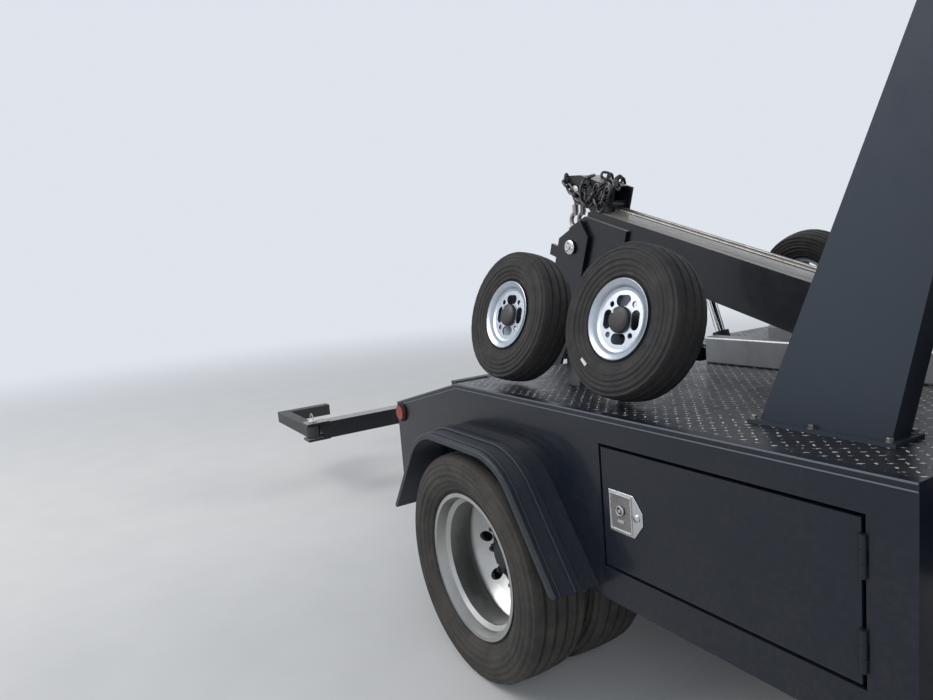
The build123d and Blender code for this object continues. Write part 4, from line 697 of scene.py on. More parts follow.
def tyre_profile(radius, width, bead, bead_half, grooves, groove_wide, groove_deep):
    """The closed outline of a tyre in (across, radius), with the parts of its tread marked."""
    half = width / 2
    middle, shoulder = bead + 0.45 * (radius - bead), radius - 0.07 * (radius - bead)
    side = []
    rim_side = arc_points((bead_half, bead + 0.016), (half, middle), (0.88 * half, shoulder), 25)
    raised = {2: 3.0, 3: 3.0, 6: 1.4, 9: 2.2, 10: 2.2, 13: 3.2, 14: 3.2, 17: 2.0, 20: 3.2, 21: 3.2}
    for i, (y, r, (uy, ur)) in enumerate(rim_side):
        out = Vector((y - uy, r - ur)).normalized()
        lift = (raised.get(i, 0) - 3.2) * 0.001
        side.append((y + out.x * lift, r + out.y * lift, ""))
    edge = 0.76 * half
    crown = lambda y: radius - 0.0045 * (y / edge) ** 2
    tread = [(0.88 * half, shoulder, "lug"), (0.82 * half, (shoulder + radius) / 2 - 0.002, "lug"),
             (edge, crown(edge), "lug")]
    for g in sorted(grooves, reverse=True):
        high, low = g + groove_wide / 2, g - groove_wide / 2
        tread += [
            (high + 0.012, crown(high + 0.012), "rib"), (high + 0.0015, crown(high), "rib"),
            (high - 0.001, crown(high) - groove_deep, "low"), (low + 0.001, crown(low) - groove_deep, "low"),
            (low - 0.0015, crown(low), "rib"), (low - 0.012, crown(low - 0.012), "rib"),
        ]
    tread += [(-y, r, kind) for y, r, kind in reversed(tread[:3])]
    outline = [(bead_half, bead, "")] + side[:-1] + tread + [(-y, r, k) for y, r, k in reversed(side[:-1])]
    return outline + [(-bead_half, bead, "")]


def tyre_piece(name, node_name, centres, axis, body, size, lugs, deep, key="road_rubber"):
    radius, width, bead, bead_half, grooves, groove_wide = size
    outline = tyre_profile(radius, width, bead, bead_half, grooves, groove_wide, deep)
    kinds = [k for _, _, k in outline]
    steps = lugs * 4

    def dent(i, k, along, r):
        if kinds[k] == "lug":
            return -deep * 0.12 if i % 4 == 0 else 0
        if kinds[k] == "rib":
            return -deep * 0.08 if (i + (1 if along > 0 else 3)) % 8 == 0 else 0
        return 0

    whole = None
    for centre in centres:
        made = turned(name, centre, axis, [(y, r) for y, r, _ in outline], body, key, steps, dent)
        if whole is None:
            whole = made
        else:
            bm = bmesh.new()
            bm.from_mesh(whole.data)
            bm.from_mesh(made.data)
            bm.to_mesh(whole.data)
            bm.free()
            bpy.data.objects.remove(made)
    sharpen(whole, 24)
    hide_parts(node_name)
    return whole


ROAD_TYRE = (0.405, 0.226, 0.248, 0.080, (-0.062, -0.021, 0.021, 0.062), 0.010)
DOLLY_TYRE = (0.230, 0.132, 0.104, 0.050, (-0.030, 0.0, 0.030), 0.006)
LEAN = math.radians(16)
WHEELS = {}
for side_name, side in SIDES:
    out = Vector((0, side, 0))
    dual = at(0, side * 0.935, 0.405)
    tyre_piece(
        f"rear_treads_{side_name}", f"rear_tyres_{side_name}",
        [dual + out * 0.133, dual - out * 0.133], out, f"rear_wheels_{side_name}", ROAD_TYRE, 44, 0.011,
    )
    tyre_piece(
        f"front_tread_{side_name}", f"front_tyre_{side_name}", [at(3.683, side * 0.900, 0.405)], out,
        f"front_wheel_{side_name}", ROAD_TYRE, 44, 0.011,
    )
    leaning = Vector((0, side * math.cos(LEAN), math.sin(LEAN)))
    for end, x in (("front", 0.562), ("rear", 0.002)):
        tyre_piece(
            f"dolly_tread_{end}_{side_name}", f"dolly_tyre_{end}_{side_name}",
            [at(x, side * 0.872, 1.258)], leaning, f"dolly_wheel_{end}_{side_name}", DOLLY_TYRE, 34, 0.006,
            "rubber",
        )


# Hubs and nuts

def ring_of(centre, axis, radius, count, turn=0.0):
    axis, u, v = frame_on(axis)
    for i in range(count):
        a = turn + 2 * math.pi * i / count
        yield centre + (u * math.cos(a) + v * math.sin(a)) * radius, a


def holed_disc(name, centre, axis, along, thick, outer, holes, body, key):
    """A flat disc with holes, each hole a closed list of points in the disc's plane."""
    axis, u, v = frame_on(axis)
    loops = [[Vector((outer * math.cos(2 * math.pi * i / 64), outer * math.sin(2 * math.pi * i / 64)))
              for i in range(64)]] + holes
    flat, faces_in = [], []
    for loop in loops:
        faces_in.append(list(range(len(flat), len(flat) + len(loop))))
        flat += loop
    edges = [(f[i], f[(i + 1) % len(f)]) for f in faces_in for i in range(len(f))]
    verts, _, faces, _, _, _ = delaunay_2d_cdt(flat, edges, faces_in, 0, 1e-6)
    inside = [f for f in faces if not any(in_loop(sum((verts[i] for i in f), Vector((0, 0))) / len(f), h) for h in holes)]
    points = [centre + axis * along + u * p.x + v * p.y for p in verts]
    made = piece(name, points, [tuple(f) for f in inside], body, key)
    skin = made.modifiers.new("thick", "SOLIDIFY")
    skin.thickness, skin.offset = thick, 0
    return bevelled(made, 0.0012, 2)


def in_loop(p, loop):
    inside = False
    for a, b in zip(loop, loop[1:] + loop[:1]):
        if (a.y > p.y) != (b.y > p.y) and p.x < (b.x - a.x) * (p.y - a.y) / (b.y - a.y) + a.x:
            inside = not inside
    return inside


def oval(pitch, angle, half_run, radius, count=28):
    points = []
    for i in range(count):
        a = 2 * math.pi * i / count
        x, y = radius * math.cos(a), radius * math.sin(a) + (half_run if math.sin(a) > 0 else -half_run)
        x += pitch
        points.append(Vector((x * math.cos(angle) - y * math.sin(angle), x * math.sin(angle) + y * math.cos(angle))))
    return points


def dolly_rim(place, centre, axis):
    """A pressed rim with four oval and four round holes, turned so that one oval is at the top."""
    body, turn = f"dolly_wheel_{place}", 0.0
    rim = turned(
        f"dolly_barrel_{place}", centre, axis,
        [(0.0580, 0.1190), (0.0565, 0.1190), (0.0500, 0.1120), (0.0490, 0.1037), (0.030, 0.1020), (0.020, 0.0985),
         (-0.020, 0.0985), (-0.030, 0.1020), (-0.0490, 0.1037), (-0.0565, 0.1190), (-0.0580, 0.1190),
         (-0.0580, 0.1150), (-0.052, 0.1005), (-0.030, 0.0975), (-0.018, 0.0945), (0.018, 0.0945), (0.026, 0.0960),
         (0.034, 0.0925), (0.037, 0.0850), (0.041, 0.0850), (0.0415, 0.0880), (0.0440, 0.0950), (0.0500, 0.0990),
         (0.0545, 0.1045), (0.0575, 0.1145), (0.0590, 0.1170)],
        body, "silver", 72,
    )
    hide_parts(f"dolly_rim_{place}")
    holes = [oval(0.0560, turn + math.pi / 2 * k, 0.0125, 0.0160) for k in range(4)]
    holes += [oval(0.0640, turn + math.pi / 2 * (k + 0.5), 0.0, 0.0085, 16) for k in range(4)]
    holed_disc(f"dolly_disc_{place}", centre, axis, 0.0385, 0.006, 0.0865, holes, body, "silver")
    turned(
        f"dolly_hub_{place}", centre, axis,
        [(-0.060, 0.0), (-0.060, 0.034), (-0.040, 0.038), (0.0350, 0.038), (0.0353, 0.0395), (0.0480, 0.0395),
         (0.0530, 0.0375), (0.0565, 0.0310), (0.0580, 0.0200), (0.0585, 0.0)],
        body, "hub", 56, None, closed=False,
    )
    nuts = Parts()
    for spot, a in ring_of(centre + axis * 0.0500, axis, 0.0300, 1, turn - math.pi / 4):
        nuts.nut(spot, axis, 0.0062, a, stud=False)
    nuts.build(f"dolly_nuts_{place}", body, "steel")


for side_name, side in SIDES:
    out = Vector((0, side, 0))
    dual = at(0, side * 0.935, 0.405)
    nuts = Parts()
    for place, a in ring_of(dual + out * 0.0203, out, 0.1320, 10, 0.2):
        nuts.nut(place, out, 0.0178, a)
    nuts.build(f"rear_nuts_{side_name}", f"rear_wheels_{side_name}", "hub")
    lobes = lambda i, k, along, r: 0.0060 * math.cos(10 * (2 * math.pi * i / 120 - 0.2)) if 1 <= k <= 3 else 0
    turned(
        f"rear_hub_{side_name}", dual, out,
        [(0.0123, 0.0), (0.0123, 0.150), (0.0185, 0.150), (0.0205, 0.147), (0.0205, 0.092), (0.034, 0.088),
         (0.0715, 0.070), (0.0740, 0.066), (0.0745, 0.050), (0.088, 0.047), (0.093, 0.040), (0.095, 0.024),
         (0.092, 0.0)],
        f"rear_wheels_{side_name}", "hub", 120, lobes, closed=False,
    )
    caps = Parts()
    for place, a in ring_of(dual + out * 0.0742, out, 0.058, 8):
        caps.bolt(place, out, 0.0060, a)
    caps.build(f"rear_hub_bolts_{side_name}", f"rear_wheels_{side_name}", "hub")
    front = at(3.683, side * 0.900, 0.405)
    nuts = Parts()
    for place, a in ring_of(front + out * 0.1332, out, 0.126, 8, 0.39):
        nuts.nut(place, out, 0.0155, a)
    nuts.build(f"front_nuts_{side_name}", f"front_wheel_{side_name}", "chrome")
    turned(
        f"front_hub_cap_{side_name}", front, out,
        [(0.1335, 0.0), (0.1335, 0.098), (0.150, 0.094), (0.176, 0.074), (0.188, 0.050), (0.192, 0.0)],
        f"front_wheel_{side_name}", "hub", 64, None, closed=False,
    )
    leaning = Vector((0, side * math.cos(LEAN), math.sin(LEAN)))
    for end, x in (("front", 0.562), ("rear", 0.002)):
        dolly_rim(f"{end}_{side_name}", at(x, side * 0.872, 1.258), leaning)

# Body: latches, edge strips, lamp surrounds and fasteners

def plate_with_point(side, x0, x1, x2, z0, z1, y0, y1):
    middle_z = (z0 + z1) / 2
    corners = [(x0, z0), (x1, z0), (x2, middle_z - 0.018), (x2, middle_z + 0.018), (x1, z1), (x0, z1)]
    return [at(x, side * y0, z) for x, z in corners], (0, side * (y1 - y0), 0)


def arch_path(grow, turns=14):
    """Points along the flare's arch, this far outside the wheel opening, from foot to foot."""
    run, rise, radius = 0.255, 0.359, 0.200 + grow
    push, shift = grow * math.hypot(run, rise) / rise, grow * run / rise
    top, corner = 0.829 + grow, 0.250 + push - shift
    slope = math.atan2(rise, run)
    cut = radius * math.tan((math.pi / 2 - (math.pi / 2 - slope)) / 2)
    centre_x, centre_z = corner - cut, top - radius
    points = [(corner + (top - 0.500) * run / rise, 0.500)]
    for i in range(turns + 1):
        a = math.pi / 2 - slope + slope * i / turns
        points.append((centre_x + radius * math.cos(a), centre_z + radius * math.sin(a)))
    return points + [(-x, z) for x, z in reversed(points)]


for side_name, side in SIDES:
    latch = Parts()
    latch.plank(*plate_with_point(side, 0.605, 0.700, 0.732, 0.690, 0.810, 1.0302, 1.0335))
    latch.build(f"latch_plate_{side_name}", f"toolbox_door_{side_name}", "stainless", 0.002)
    tray = Parts()
    tray.plank([at(x, side * 1.0336, z) for x, z in ((0.614, 0.701), (0.690, 0.701), (0.690, 0.799), (0.614, 0.799))],
               (0, side * 0.0006, 0))
    tray.build(f"latch_tray_{side_name}", f"toolbox_door_{side_name}", "steel")
    beads = Parts()
    frame_path = [at(x, side * 1.0342, z) for x, z in ((0.612, 0.699), (0.692, 0.699), (0.692, 0.801), (0.612, 0.801))]
    for a, b in zip(frame_path, frame_path[1:] + frame_path[:1]):
        beads.tube([a, b], 0.0032, 8)
    pull = at(0.652, side * 1.0385, 0.757)
    beads.tube([p for p, _ in ring_of(pull, (0, side, 0), 0.0125, 24)], 0.0030, 8, True)
    beads.disc_stack(pull + Vector((0, side * -0.0040, 0)), (0, side, 0), [(0, 0.006), (0.006, 0.005)], 16)
    beads.plank([at(x, side * 1.0343, z) for x, z in ((0.640, 0.722), (0.664, 0.722), (0.664, 0.729), (0.640, 0.729))],
                (0, side * 0.0020, 0))
    beads.disc_stack(at(0.712, side * 1.0336, 0.750), (0, side, 0), [(0, 0.0105), (0.003, 0.0105), (0.0045, 0.008)], 20)
    beads.build(f"latch_handle_{side_name}", f"toolbox_door_{side_name}", "stainless")

    # The deck plate's edge shows as two lighter lines along the top of the side: worn edges, with a painted highlight
    # along them.
    strips = Parts()
    run = [(-0.7565, 0.877), (-0.213, 1.018), (1.4185, 1.018)]
    for drop, tall in ((0.0005, 0.0045), (0.0165, 0.0035)):
        for (xa, za), (xb, zb) in zip(run, run[1:]):
            strips.plank(
                (at(xa, side * 1.0301, za - drop), at(xb, side * 1.0301, zb - drop),
                 at(xb, side * 1.0301, zb - drop - tall), at(xa, side * 1.0301, za - drop - tall)),
                (0, side * 0.0024, 0),
            )
    strips.build(f"deck_edge_{side_name}", "chassis", "edge", 0.0008)

    rings = Parts()
    marker = at(-0.710, side * 1.0303, 0.836)
    rings.tube([p for p, _ in ring_of(marker + Vector((0, side * 0.004, 0)), (0, 1, 0), 0.0365, 40)], 0.0052, 8, True)
    for y in (0.5, 0.8):
        oval = []
        for i in range(40):
            a = 2 * math.pi * i / 40
            flat = 0.0535 if math.cos(a) > 0 else -0.0535
            oval.append(at(-0.7610, side * y + flat + 0.033 * math.cos(a), 0.6985 + 0.033 * math.sin(a)))
        rings.tube(oval, 0.0050, 8, True)
    rings.build(f"lamp_rings_{side_name}", "chassis", "seal")

    ribs = Parts()
    for grow, y, thick in ((0.0335, 1.1830, 0.0042), (0.0345, 1.1660, 0.0042), (0.0400, 1.1150, 0.0050)):
        ribs.tube([at(x, side * y, z) for x, z in arch_path(grow)], thick, 8)
    ribs.build(f"flare_ribs_{side_name}", "chassis", "flare")

    foot_bolts = Parts()
    for x in (0.950, 1.10, 1.275):
        for y in (0.852, 0.753):
            foot_bolts.bolt(at(x + 0.0, side * y, 1.0281), (0, 0, 1), 0.0075, x)
    foot_bolts.build(f"pylon_bolts_{side_name}", "chassis", "steel")


# Light bar: a tray with a row of domed lenses

def pod(parts, low, high, corner, dome, steps=6):
    """A block with rounded corners in plan and a rounded top."""
    (x0, y0, z0), (x1, y1, z1) = low, high
    rings = []
    for level in range(steps + 2):
        if level == 0:
            inset, z = 0.0, z0
        else:
            a = (math.pi / 2) * (level - 1) / steps
            inset, z = dome * (1 - math.cos(a)), z1 - dome + dome * math.sin(a)
        ring = []
        for cx, cy, start in ((x1, y1, 0), (x0, y1, 1), (x0, y0, 2), (x1, y0, 3)):
            sx, sy = (1 if cx == x1 else -1), (1 if cy == y1 else -1)
            r = max(corner - inset, 0.001)
            ox, oy = cx - sx * (inset + r), cy - sy * (inset + r)
            for k in range(7):
                a = math.pi / 2 * (start + k / 6)
                ring.append((ox + r * math.cos(a), oy + r * math.sin(a), z))
        rings.append(ring)
    parts.ring_stack(rings)


bar_low, bar_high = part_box("light_bar")
tray = Parts()
pod(tray, (bar_low.x, bar_low.y, bar_low.z), (bar_high.x, bar_high.y, bar_low.z + 0.020), 0.088, 0.006)
tray_piece = tray.build("beacon_tray", "chassis", "trim")
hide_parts("light_bar")
lens_z = (bar_low.z + 0.0202, bar_high.z - 0.001)
edges_y = [-0.776, -0.560, -0.350, -0.120, 0.120, 0.350, 0.560, 0.776]
for k, (ya, yb) in enumerate(zip(edges_y, edges_y[1:])):
    lens_parts = Parts()
    outer = k in (0, len(edges_y) - 2)
    pod(lens_parts, (bar_low.x + 0.010, ya + 0.003, lens_z[0]), (bar_high.x - 0.010, yb - 0.003, lens_z[1]),
        0.080 if outer else 0.012, 0.026)
    lens_parts.build(f"beacon_lens_{k}", "chassis", "amber" if k % 2 == 0 else "clear")
    core = Parts()
    for y in ((ya + yb) / 2 - 0.05, (ya + yb) / 2 + 0.05):
        core.disc_stack(Vector(((bar_low.x + bar_high.x) / 2, y, lens_z[0])), (0, 0, 1),
                        [(0, 0.03), (0.018, 0.034), (0.042, 0.022), (0.050, 0.010)], 24)
    core.build(f"beacon_core_{k}", "chassis", "chrome")


# Boom: winch coils, twisted ropes, pin caps, and the chain bundled at the head

ANGLE = math.radians(18.1)


def boom_at(s, t, y):
    """A point this far along the boom from its foot pin and this far above its middle."""
    return at(0.870 - s * math.cos(ANGLE) + t * math.sin(ANGLE), y, 1.122 + s * math.sin(ANGLE) + t * math.cos(ANGLE))


for side_name, side in SIDES:
    coil = [(0.0095 * side, 0.0482)]
    for k in range(48):
        across = side * (0.0095 + 0.068 * k / 47)
        coil.append((across, 0.0545 + 0.0055 * abs(math.cos(math.pi * k / 8))))
    coil.append((0.0780 * side, 0.0482))
    turned(f"winch_coil_{side_name}", boom_at(0.120, 0.172, 0), (0, 1, 0), coil, "boom", "rope", 48)
    run_start, run_end = boom_at(0.135, 0.172 - 0.0543, side * 0.024), boom_at(1.374, 0.1175, side * 0.024)
    axis, u, v = frame_on(run_end - run_start)
    rows, length = [], (run_end - run_start).length
    for i in range(201):
        along = length * i / 200
        turn = 2 * math.pi * along / 0.060
        row = []
        for k in range(25):
            a = 2 * math.pi * k / 24
            r = 0.0056 * (0.90 + 0.12 * abs(math.cos(3 * (a - turn))))
            row.append(run_start + axis * along + (u * math.cos(a) + v * math.sin(a)) * r)
        rows.append(row)
    wire = grid_piece(f"winch_wire_{side_name}", rows, None, "rope")
    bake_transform(wire, "boom", "boom_extension", start=tuple(run_start), end=tuple(run_end))
    if side_name == "left":
        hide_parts("winch_ropes")

chain = Parts()
for hang in (
    [(1.690, 0.206, -0.050), (1.668, 0.180, -0.074), (1.610, 0.146, -0.076), (1.540, 0.126, -0.078),
     (1.470, 0.124, -0.080), (1.410, 0.142, -0.082), (1.372, 0.176, -0.082), (1.352, 0.222, -0.070)],
    [(1.400, 0.214, -0.030), (1.405, 0.228, -0.060), (1.410, 0.205, -0.100), (1.425, 0.150, -0.103),
     (1.455, 0.112, -0.104), (1.490, 0.130, -0.103), (1.505, 0.190, -0.101), (1.515, 0.232, -0.062),
     (1.520, 0.240, -0.030)],
    [(1.356, 0.214, -0.020), (1.350, 0.226, -0.055), (1.348, 0.200, -0.092), (1.352, 0.150, -0.096),
     (1.372, 0.118, -0.098), (1.396, 0.140, -0.096), (1.402, 0.200, -0.086), (1.398, 0.226, -0.050)],
    [(1.430, 0.222, 0.030), (1.435, 0.238, 0.060), (1.440, 0.200, 0.081), (1.455, 0.140, 0.083),
     (1.480, 0.125, 0.083), (1.500, 0.170, 0.081), (1.508, 0.234, 0.060), (1.512, 0.238, 0.030)],
):
    chain.chain([boom_at(*p) for p in hang], 0.050, 0.032, 0.0062)
chain.build("head_chain", "boom_extension", "chain")

for side_name, side in SIDES:
    pins = Parts()
    pins.disc_stack(at(-0.57215, side * 0.1422, 1.49605), (0, side, 0),
                    [(0, 0.034), (0.006, 0.034), (0.008, 0.030), (0.008, 0.012), (0.014, 0.010), (0.015, 0.006)], 24)
    for place, a in ring_of(at(-0.57215, side * 0.1502, 1.49605), (0, 1, 0), 0.022, 3, 0.4):
        pins.bolt(place, (0, side, 0), 0.005, a)
    pins.build(f"mast_pin_cap_{side_name}", "boom", "stainless")
    pins = Parts()
    pins.disc_stack(at(0.870, side * 0.1332, 1.122), (0, side, 0), [(0, 0.036), (0.006, 0.036), (0.008, 0.032)], 24)
    for place, a in ring_of(at(0.870, side * 0.1412, 1.122), (0, 1, 0), 0.022, 3, 0.4):
        pins.bolt(place, (0, side, 0), 0.005, a)
    pins.build(f"boom_pin_cap_{side_name}", "chassis", "steel")
    pins = Parts()
    pins.disc_stack(boom_at(1.590, 0.152, side * 0.0702), (0, side, 0), [(0, 0.026), (0.005, 0.026), (0.007, 0.022)], 24)
    pins.build(f"sheave_pin_cap_{side_name}", "boom_extension", "steel")
    bolts = Parts()
    for s, t in ((0.065, 0.108), (0.175, 0.108)):
        bolts.bolt(boom_at(s, t - 0.003, side * 0.050), boom_at(0, 1, 0) - boom_at(0, 0, 0), 0.008, s)
    bolts.build(f"winch_bolts_{side_name}", "boom", "steel")


# Cab: handles, mirror glass, wipers, roof lamps and screen seals

def screen_at(along, y, off):
    """A point up the windscreen from its foot, off its surface."""
    return at(3.290 - 0.7256 * along + 0.6883 * off, y, 1.400 + 0.6883 * along + 0.7256 * off)


for side_name, side in SIDES:
    grip = Parts()
    low, high = at(2.060, side * 1.0290, 1.262), at(2.230, side * 1.0420, 1.292)
    grip.brick(tuple(map(min, low, high)), tuple(map(max, low, high)))
    for x in (2.066, 2.200):
        low, high = at(x, side * 1.0085, 1.268), at(x + 0.024, side * 1.0300, 1.286)
        grip.brick(tuple(map(min, low, high)), tuple(map(max, low, high)))
    grip.build(f"door_handle_{side_name}", f"door_{side_name}", "trim", 0.004)
    cup = Parts()
    cup.disc_stack(at(2.145, side * 1.0103, 1.277), (0, side, 0), [(0, 0.046), (0.0010, 0.046), (0.0014, 0.042)], 32)
    cup.build(f"door_handle_cup_{side_name}", f"door_{side_name}", "trim")
    mirror = Parts()
    y_mid = side * 1.190
    pane = [at(2.9845, y_mid - 0.085, 1.285), at(2.9845, y_mid + 0.085, 1.285),
            at(2.9845, y_mid + 0.085, 1.500), at(2.9845, y_mid - 0.085, 1.500)]
    mirror.plank(pane, (-0.0025, 0, 0))
    mirror.plank([at(2.9845, y_mid - 0.085, 1.510), at(2.9845, y_mid + 0.085, 1.510),
                  at(2.9845, y_mid + 0.085, 1.585), at(2.9845, y_mid - 0.085, 1.585)], (-0.0025, 0, 0))
    mirror.build(f"mirror_glass_{side_name}", f"door_{side_name}", "chrome", 0.001)
    wiper = Parts()
    y0 = 0.10 if side < 0 else 0.72
    foot, tip = screen_at(0.030, y0 - 0.02, 0.004), screen_at(0.190, y0 - 0.36, 0.018)
    wiper.disc_stack(foot, Vector((0.6883, 0, 0.7256)), [(0, 0.018), (0.014, 0.016), (0.018, 0.010)], 20)
    wiper.tube([foot + Vector((0.010, 0, 0.012)), screen_at(0.080, y0 - 0.14, 0.022), tip], 0.0055, 8)
    wiper.build(f"wiper_arm_{side_name}", "chassis", "trim")
    blade = Parts()
    a, b = screen_at(0.165, y0 - 0.62, 0.007), screen_at(0.185, y0 - 0.10, 0.007)
    blade.tube([a, (a + b) / 2 + Vector((0.002, 0, 0.003)), b], 0.0050, 6)
    blade.build(f"wiper_blade_{side_name}", "chassis", "seal")

roof = Parts()
for y in (-0.62, -0.22, 0.0, 0.22, 0.62):
    pod(roof, tuple(at(2.520, y - 0.045, 2.0400)), tuple(at(2.600, y + 0.045, 2.0660)), 0.018, 0.014)
roof.build("cab_lamps", "chassis", "amber")

seals = Parts()
for corners in (
    [(0.092, -0.842), (0.092, 0.842), (0.798, 0.792), (0.798, -0.792)],
):
    path = [screen_at(along, y, -0.004) for along, y in corners]
    for a, b in zip(path, path[1:] + path[:1]):
        seals.tube([a, b], 0.009, 8)
rear = [(-0.622, 1.428), (0.622, 1.428), (0.602, 1.897), (-0.602, 1.897)]
path = [at(1.560 + 0.040 * (z - 1.370) / 0.675 + 0.002, y, z) for y, z in rear]
for a, b in zip(path, path[1:] + path[:1]):
    seals.tube([a, b], 0.009, 8)
seals.build("window_seals", "chassis", "seal")


# Seat: three sewn cushions below and three behind, over the solid that holds their place

def cushion(name, corner, along, across, normal, size, channels, crown):
    """A crowned pad with sewn channels; corner is its lowest corner, size its extent on each direction."""
    along, across, normal = (Vector(d).normalized() for d in (along, across, normal))
    steps = (24, 40)
    top, bottom = [], []
    for i in range(steps[0] + 1):
        row_top, row_bottom = [], []
        for k in range(steps[1] + 1):
            u, v = i / steps[0], k / steps[1]
            edge = (1 - (2 * u - 1) ** 8) * (1 - (2 * v - 1) ** 8)
            sewn = abs(math.sin(math.pi * channels * u)) ** 0.35 if 0.05 < u < 0.95 else 1.0
            swell = crown * math.sqrt(max(edge, 0)) * (0.72 + 0.28 * sewn)
            pull = 0.014 * ((2 * u - 1) ** 2 * (2 * v - 1) ** 2)
            base = corner + along * (size[0] * (pull + u * (1 - 2 * pull))) + across * (size[1] * (pull + v * (1 - 2 * pull)))
            row_top.append(base + normal * (size[2] - crown + swell))
            row_bottom.append(base + normal * (0.010 * (1 - min(1, edge * 3))))
        top.append(row_top)
        bottom.append(row_bottom)
    wide = steps[1] + 1
    verts = [p for row in top for p in row] + [p for row in bottom for p in row]
    base = (steps[0] + 1) * wide
    faces = []
    for i in range(steps[0]):
        for k in range(steps[1]):
            a = i * wide + k
            faces.append((a, a + 1, a + wide + 1, a + wide))
            faces.append((base + a, base + a + wide, base + a + wide + 1, base + a + 1))
    border = [k for k in range(wide)] + [i * wide + wide - 1 for i in range(1, steps[0] + 1)]
    border += [steps[0] * wide + k for k in range(wide - 2, -1, -1)] + [i * wide for i in range(steps[0] - 1, 0, -1)]
    for a, b in zip(border, border[1:] + border[:1]):
        faces.append((a, base + a, base + b, b))
    made = piece(name, verts, faces, "chassis", "seat", True)
    smooth = made.modifiers.new("smooth", "SUBSURF")
    smooth.levels = smooth.render_levels = 1
    return made


seat_low, seat_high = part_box("bench_seat")
floor_z = seat_low.z
for k, (y0, y1) in enumerate(((-0.735, -0.245), (-0.240, 0.240), (0.245, 0.735))):
    base_pad = cushion(
        f"seat_pad_{k}", at(1.890, y0, floor_z + 0.151), (1, 0, 0), (0, 1, 0), (0, 0, 1),
        (0.620, y1 - y0, 0.178), 5, 0.045,
    )
    back = cushion(
        f"seat_back_{k}", at(1.812, y0, floor_z + 0.300), (-0.104, 0, 0.75), (0, 1, 0), (0.75, 0, 0.104),
        (0.600, y1 - y0, 0.112), 6, 0.032,
    )
    if k == 0:
        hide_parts("bench_seat")
plinth = Parts()
low, high = at(1.905, -0.695, floor_z), at(2.475, 0.695, floor_z + 0.150)
plinth.brick(tuple(low), tuple(high))
plinth.build("seat_plinth", "chassis", "dash", 0.008)


# Front: chromed grille bars

bars = Parts()
for k in range(6):
    z = 0.770 + 0.070 * k
    low, high = at(4.5262, -0.534, z + 0.004), at(4.5292, 0.534, z + 0.022)
    bars.brick(tuple(low), tuple(high))
bars.build("grille_bars", "chassis", "chrome", 0.001)


# Underlift: pins and ring pulls

for side_name, side in SIDES:
    pull = Parts()
    head_z = 0.43372 + 0.061
    pull.disc_stack(at(-2.42141, side * 0.900, head_z), (0, 0, 1), [(0, 0.030), (0.008, 0.030), (0.012, 0.024)], 24)
    ring = [at(-2.42141 + 0.026 * math.cos(a), side * 0.900, head_z + 0.030 + 0.026 * math.sin(a))
            for a in (2 * math.pi * i / 28 for i in range(28))]
    pull.tube(ring, 0.0028, 6, True)
    pull.build(f"claw_pin_pull_{side_name}", "crossbar", "stainless")

mark_centre, mark_axis = at(0.562, -0.872, 1.258), Vector((0, -math.cos(LEAN), math.sin(LEAN)))
up = Vector((0, math.sin(LEAN), math.cos(LEAN)))
mark = Parts()
spot = mark_centre + Vector((-0.103, 0, 0)) + up * -0.134 + mark_axis * 0.0650
slant = (Vector((0.84, 0, 0)) - up * 0.54).normalized()
across_mark = mark_axis.cross(slant)
mark.plank([spot + slant * a + across_mark * b for a, b in ((-0.015, -0.006), (0.015, -0.006), (0.015, 0.006), (-0.015, 0.006))],
           mark_axis * 0.0016)
mark.build("tyre_mark", "dolly_wheel_front_right", "white", 0.0004)

# The nose's corner under the headlamp, from the wheel arch's skin round to the front.
corner_plan = [
    (4.298, 1.0005), (4.320, 0.993), (4.338, 0.984), (4.378, 0.965), (4.4095, 0.951), (4.4100, 0.951),
    (4.418, 0.947), (4.440, 0.936), (4.458, 0.925), (4.475, 0.911), (4.488, 0.897), (4.502, 0.874), (4.5125, 0.850),
]
for side_name, side in SIDES:
    verts, faces = [], []
    for x, y in corner_plan:
        top = 1.118 + 1.05 * (x - 4.338) if x < 4.4098 else 0.969
        verts += [at(x, side * (y - 0.001), 0.6402), at(x, side * (y - 0.001), top)]
    for i in range(len(corner_plan) - 1):
        ring = (2 * i, 2 * i + 2, 2 * i + 3, 2 * i + 1)
        faces.append(ring if side < 0 else ring[::-1])
    corner = piece(f"fender_corner_{side_name}", verts, faces, "chassis", "paint", True)
    skin = corner.modifiers.new("thick", "SOLIDIFY")
    skin.thickness, skin.offset = 0.003, -1


# Floor, light and finish

PALE = (0.74, 0.78, 0.84)


def backdrop_strength(tree):
    """Full for what the camera, metal and glass see, and lower for the light that falls on the truck."""
    rays = node(tree, "ShaderNodeLightPath")
    seen = rays.outputs["Is Camera Ray"]
    for kind in ("Is Glossy Ray", "Is Transmission Ray"):
        seen = maths(tree, "MAXIMUM", seen, rays.outputs[kind])
    strength = node(tree, "ShaderNodeMapRange")
    strength.inputs["To Min"].default_value = 0.55
    tree.links.new(seen, strength.inputs["Value"])
    return strength.outputs[0]


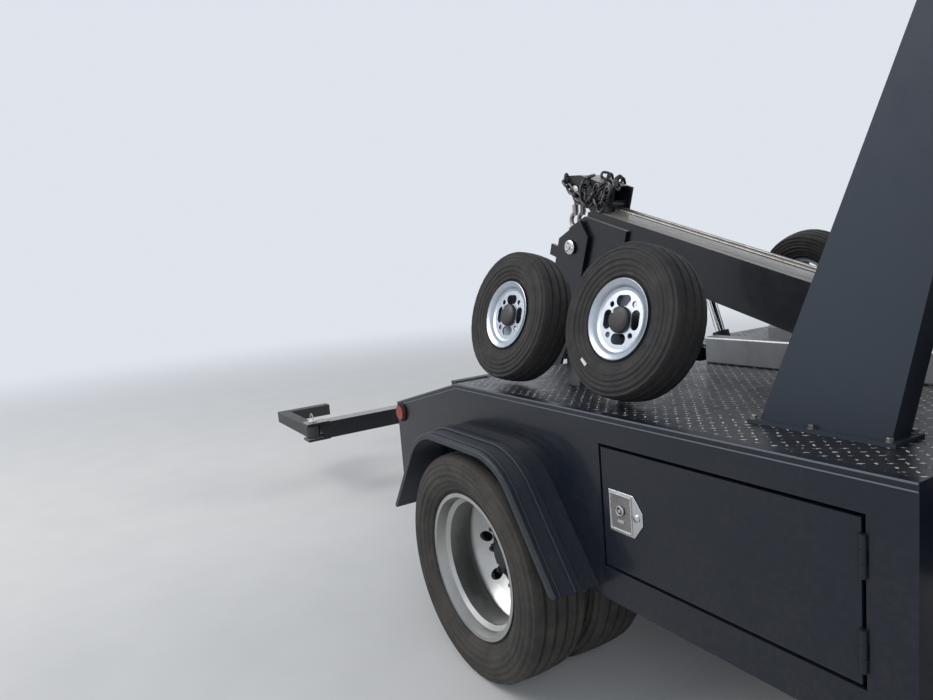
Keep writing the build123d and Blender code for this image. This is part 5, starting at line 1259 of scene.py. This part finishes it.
def backdrop():
    """A pale floor that fades into the backdrop's colour far from the truck."""
    mesh = bpy.data.meshes.new("floor")
    mesh.from_pydata([(x, y, 0) for x in (-400, 400) for y in (-400, 400)], [], [(0, 2, 3, 1)])
    made, tree, shader = material("floor_pale")
    tone = ramp(tree, noise(tree, 3, 4), [(0.3, (0.60, 0.61, 0.62)), (0.8, (0.64, 0.65, 0.66))])
    tree.links.new(tone, shader.inputs["Base Color"])
    shader.inputs["Roughness"].default_value = 0.9
    coords = node(tree, "ShaderNodeTexCoord")
    away = node(tree, "ShaderNodeVectorMath", operation="LENGTH")
    tree.links.new(coords.outputs["Object"], away.inputs[0])
    fade = node(tree, "ShaderNodeMapRange", interpolation_type="SMOOTHSTEP")
    fade.inputs["From Min"].default_value = 5
    fade.inputs["From Max"].default_value = 15
    tree.links.new(away.outputs["Value"], fade.inputs["Value"])
    glow = node(tree, "ShaderNodeEmission")
    glow.inputs["Color"].default_value = (*PALE, 1)
    tree.links.new(backdrop_strength(tree), glow.inputs["Strength"])
    both = node(tree, "ShaderNodeMixShader")
    tree.links.new(fade.outputs[0], both.inputs[0])
    tree.links.new(shader.outputs[0], both.inputs[1])
    tree.links.new(glow.outputs[0], both.inputs[2])
    tree.links.new(both.outputs[0], tree.nodes["Material Output"].inputs["Surface"])
    mesh.materials.append(made)
    floor = bpy.data.objects.new("floor", mesh)
    bpy.context.scene.collection.objects.link(floor)


backdrop()


def area_light(name, place, target, size, power, colour=(1, 1, 1)):
    data = bpy.data.lights.new(name, "AREA")
    data.shape = "RECTANGLE"
    data.size, data.size_y = size
    data.energy = power
    data.color = colour
    made = bpy.data.objects.new(name, data)
    bpy.context.scene.collection.objects.link(made)
    place, target = Vector(place), Vector(target)
    made.visible_glossy = name == "key"
    made.matrix_world = Matrix.Translation(place) @ (target - place).to_track_quat("-Z", "Y").to_matrix().to_4x4()
    return made


area_light("key", (-5, -7, 7), (0, -0.5, 0.8), (6, 6), 520, (1, 0.97, 0.93))
area_light("back", (3, 9, 6), (0, 0, 1), (8, 5), 620, (1, 0.95, 0.88))
area_light("fill", (7, -5, 4), (0, -1, 0.6), (5, 5), 260, (0.92, 0.96, 1))

world = bpy.data.worlds.new("studio")
world.use_nodes = True
bpy.context.scene.world = world
background = world.node_tree.nodes["Background"]
background.inputs["Color"].default_value = (*PALE, 1)
world.node_tree.links.new(backdrop_strength(world.node_tree), background.inputs["Strength"])
bpy.context.scene.view_settings.view_transform = "Standard"
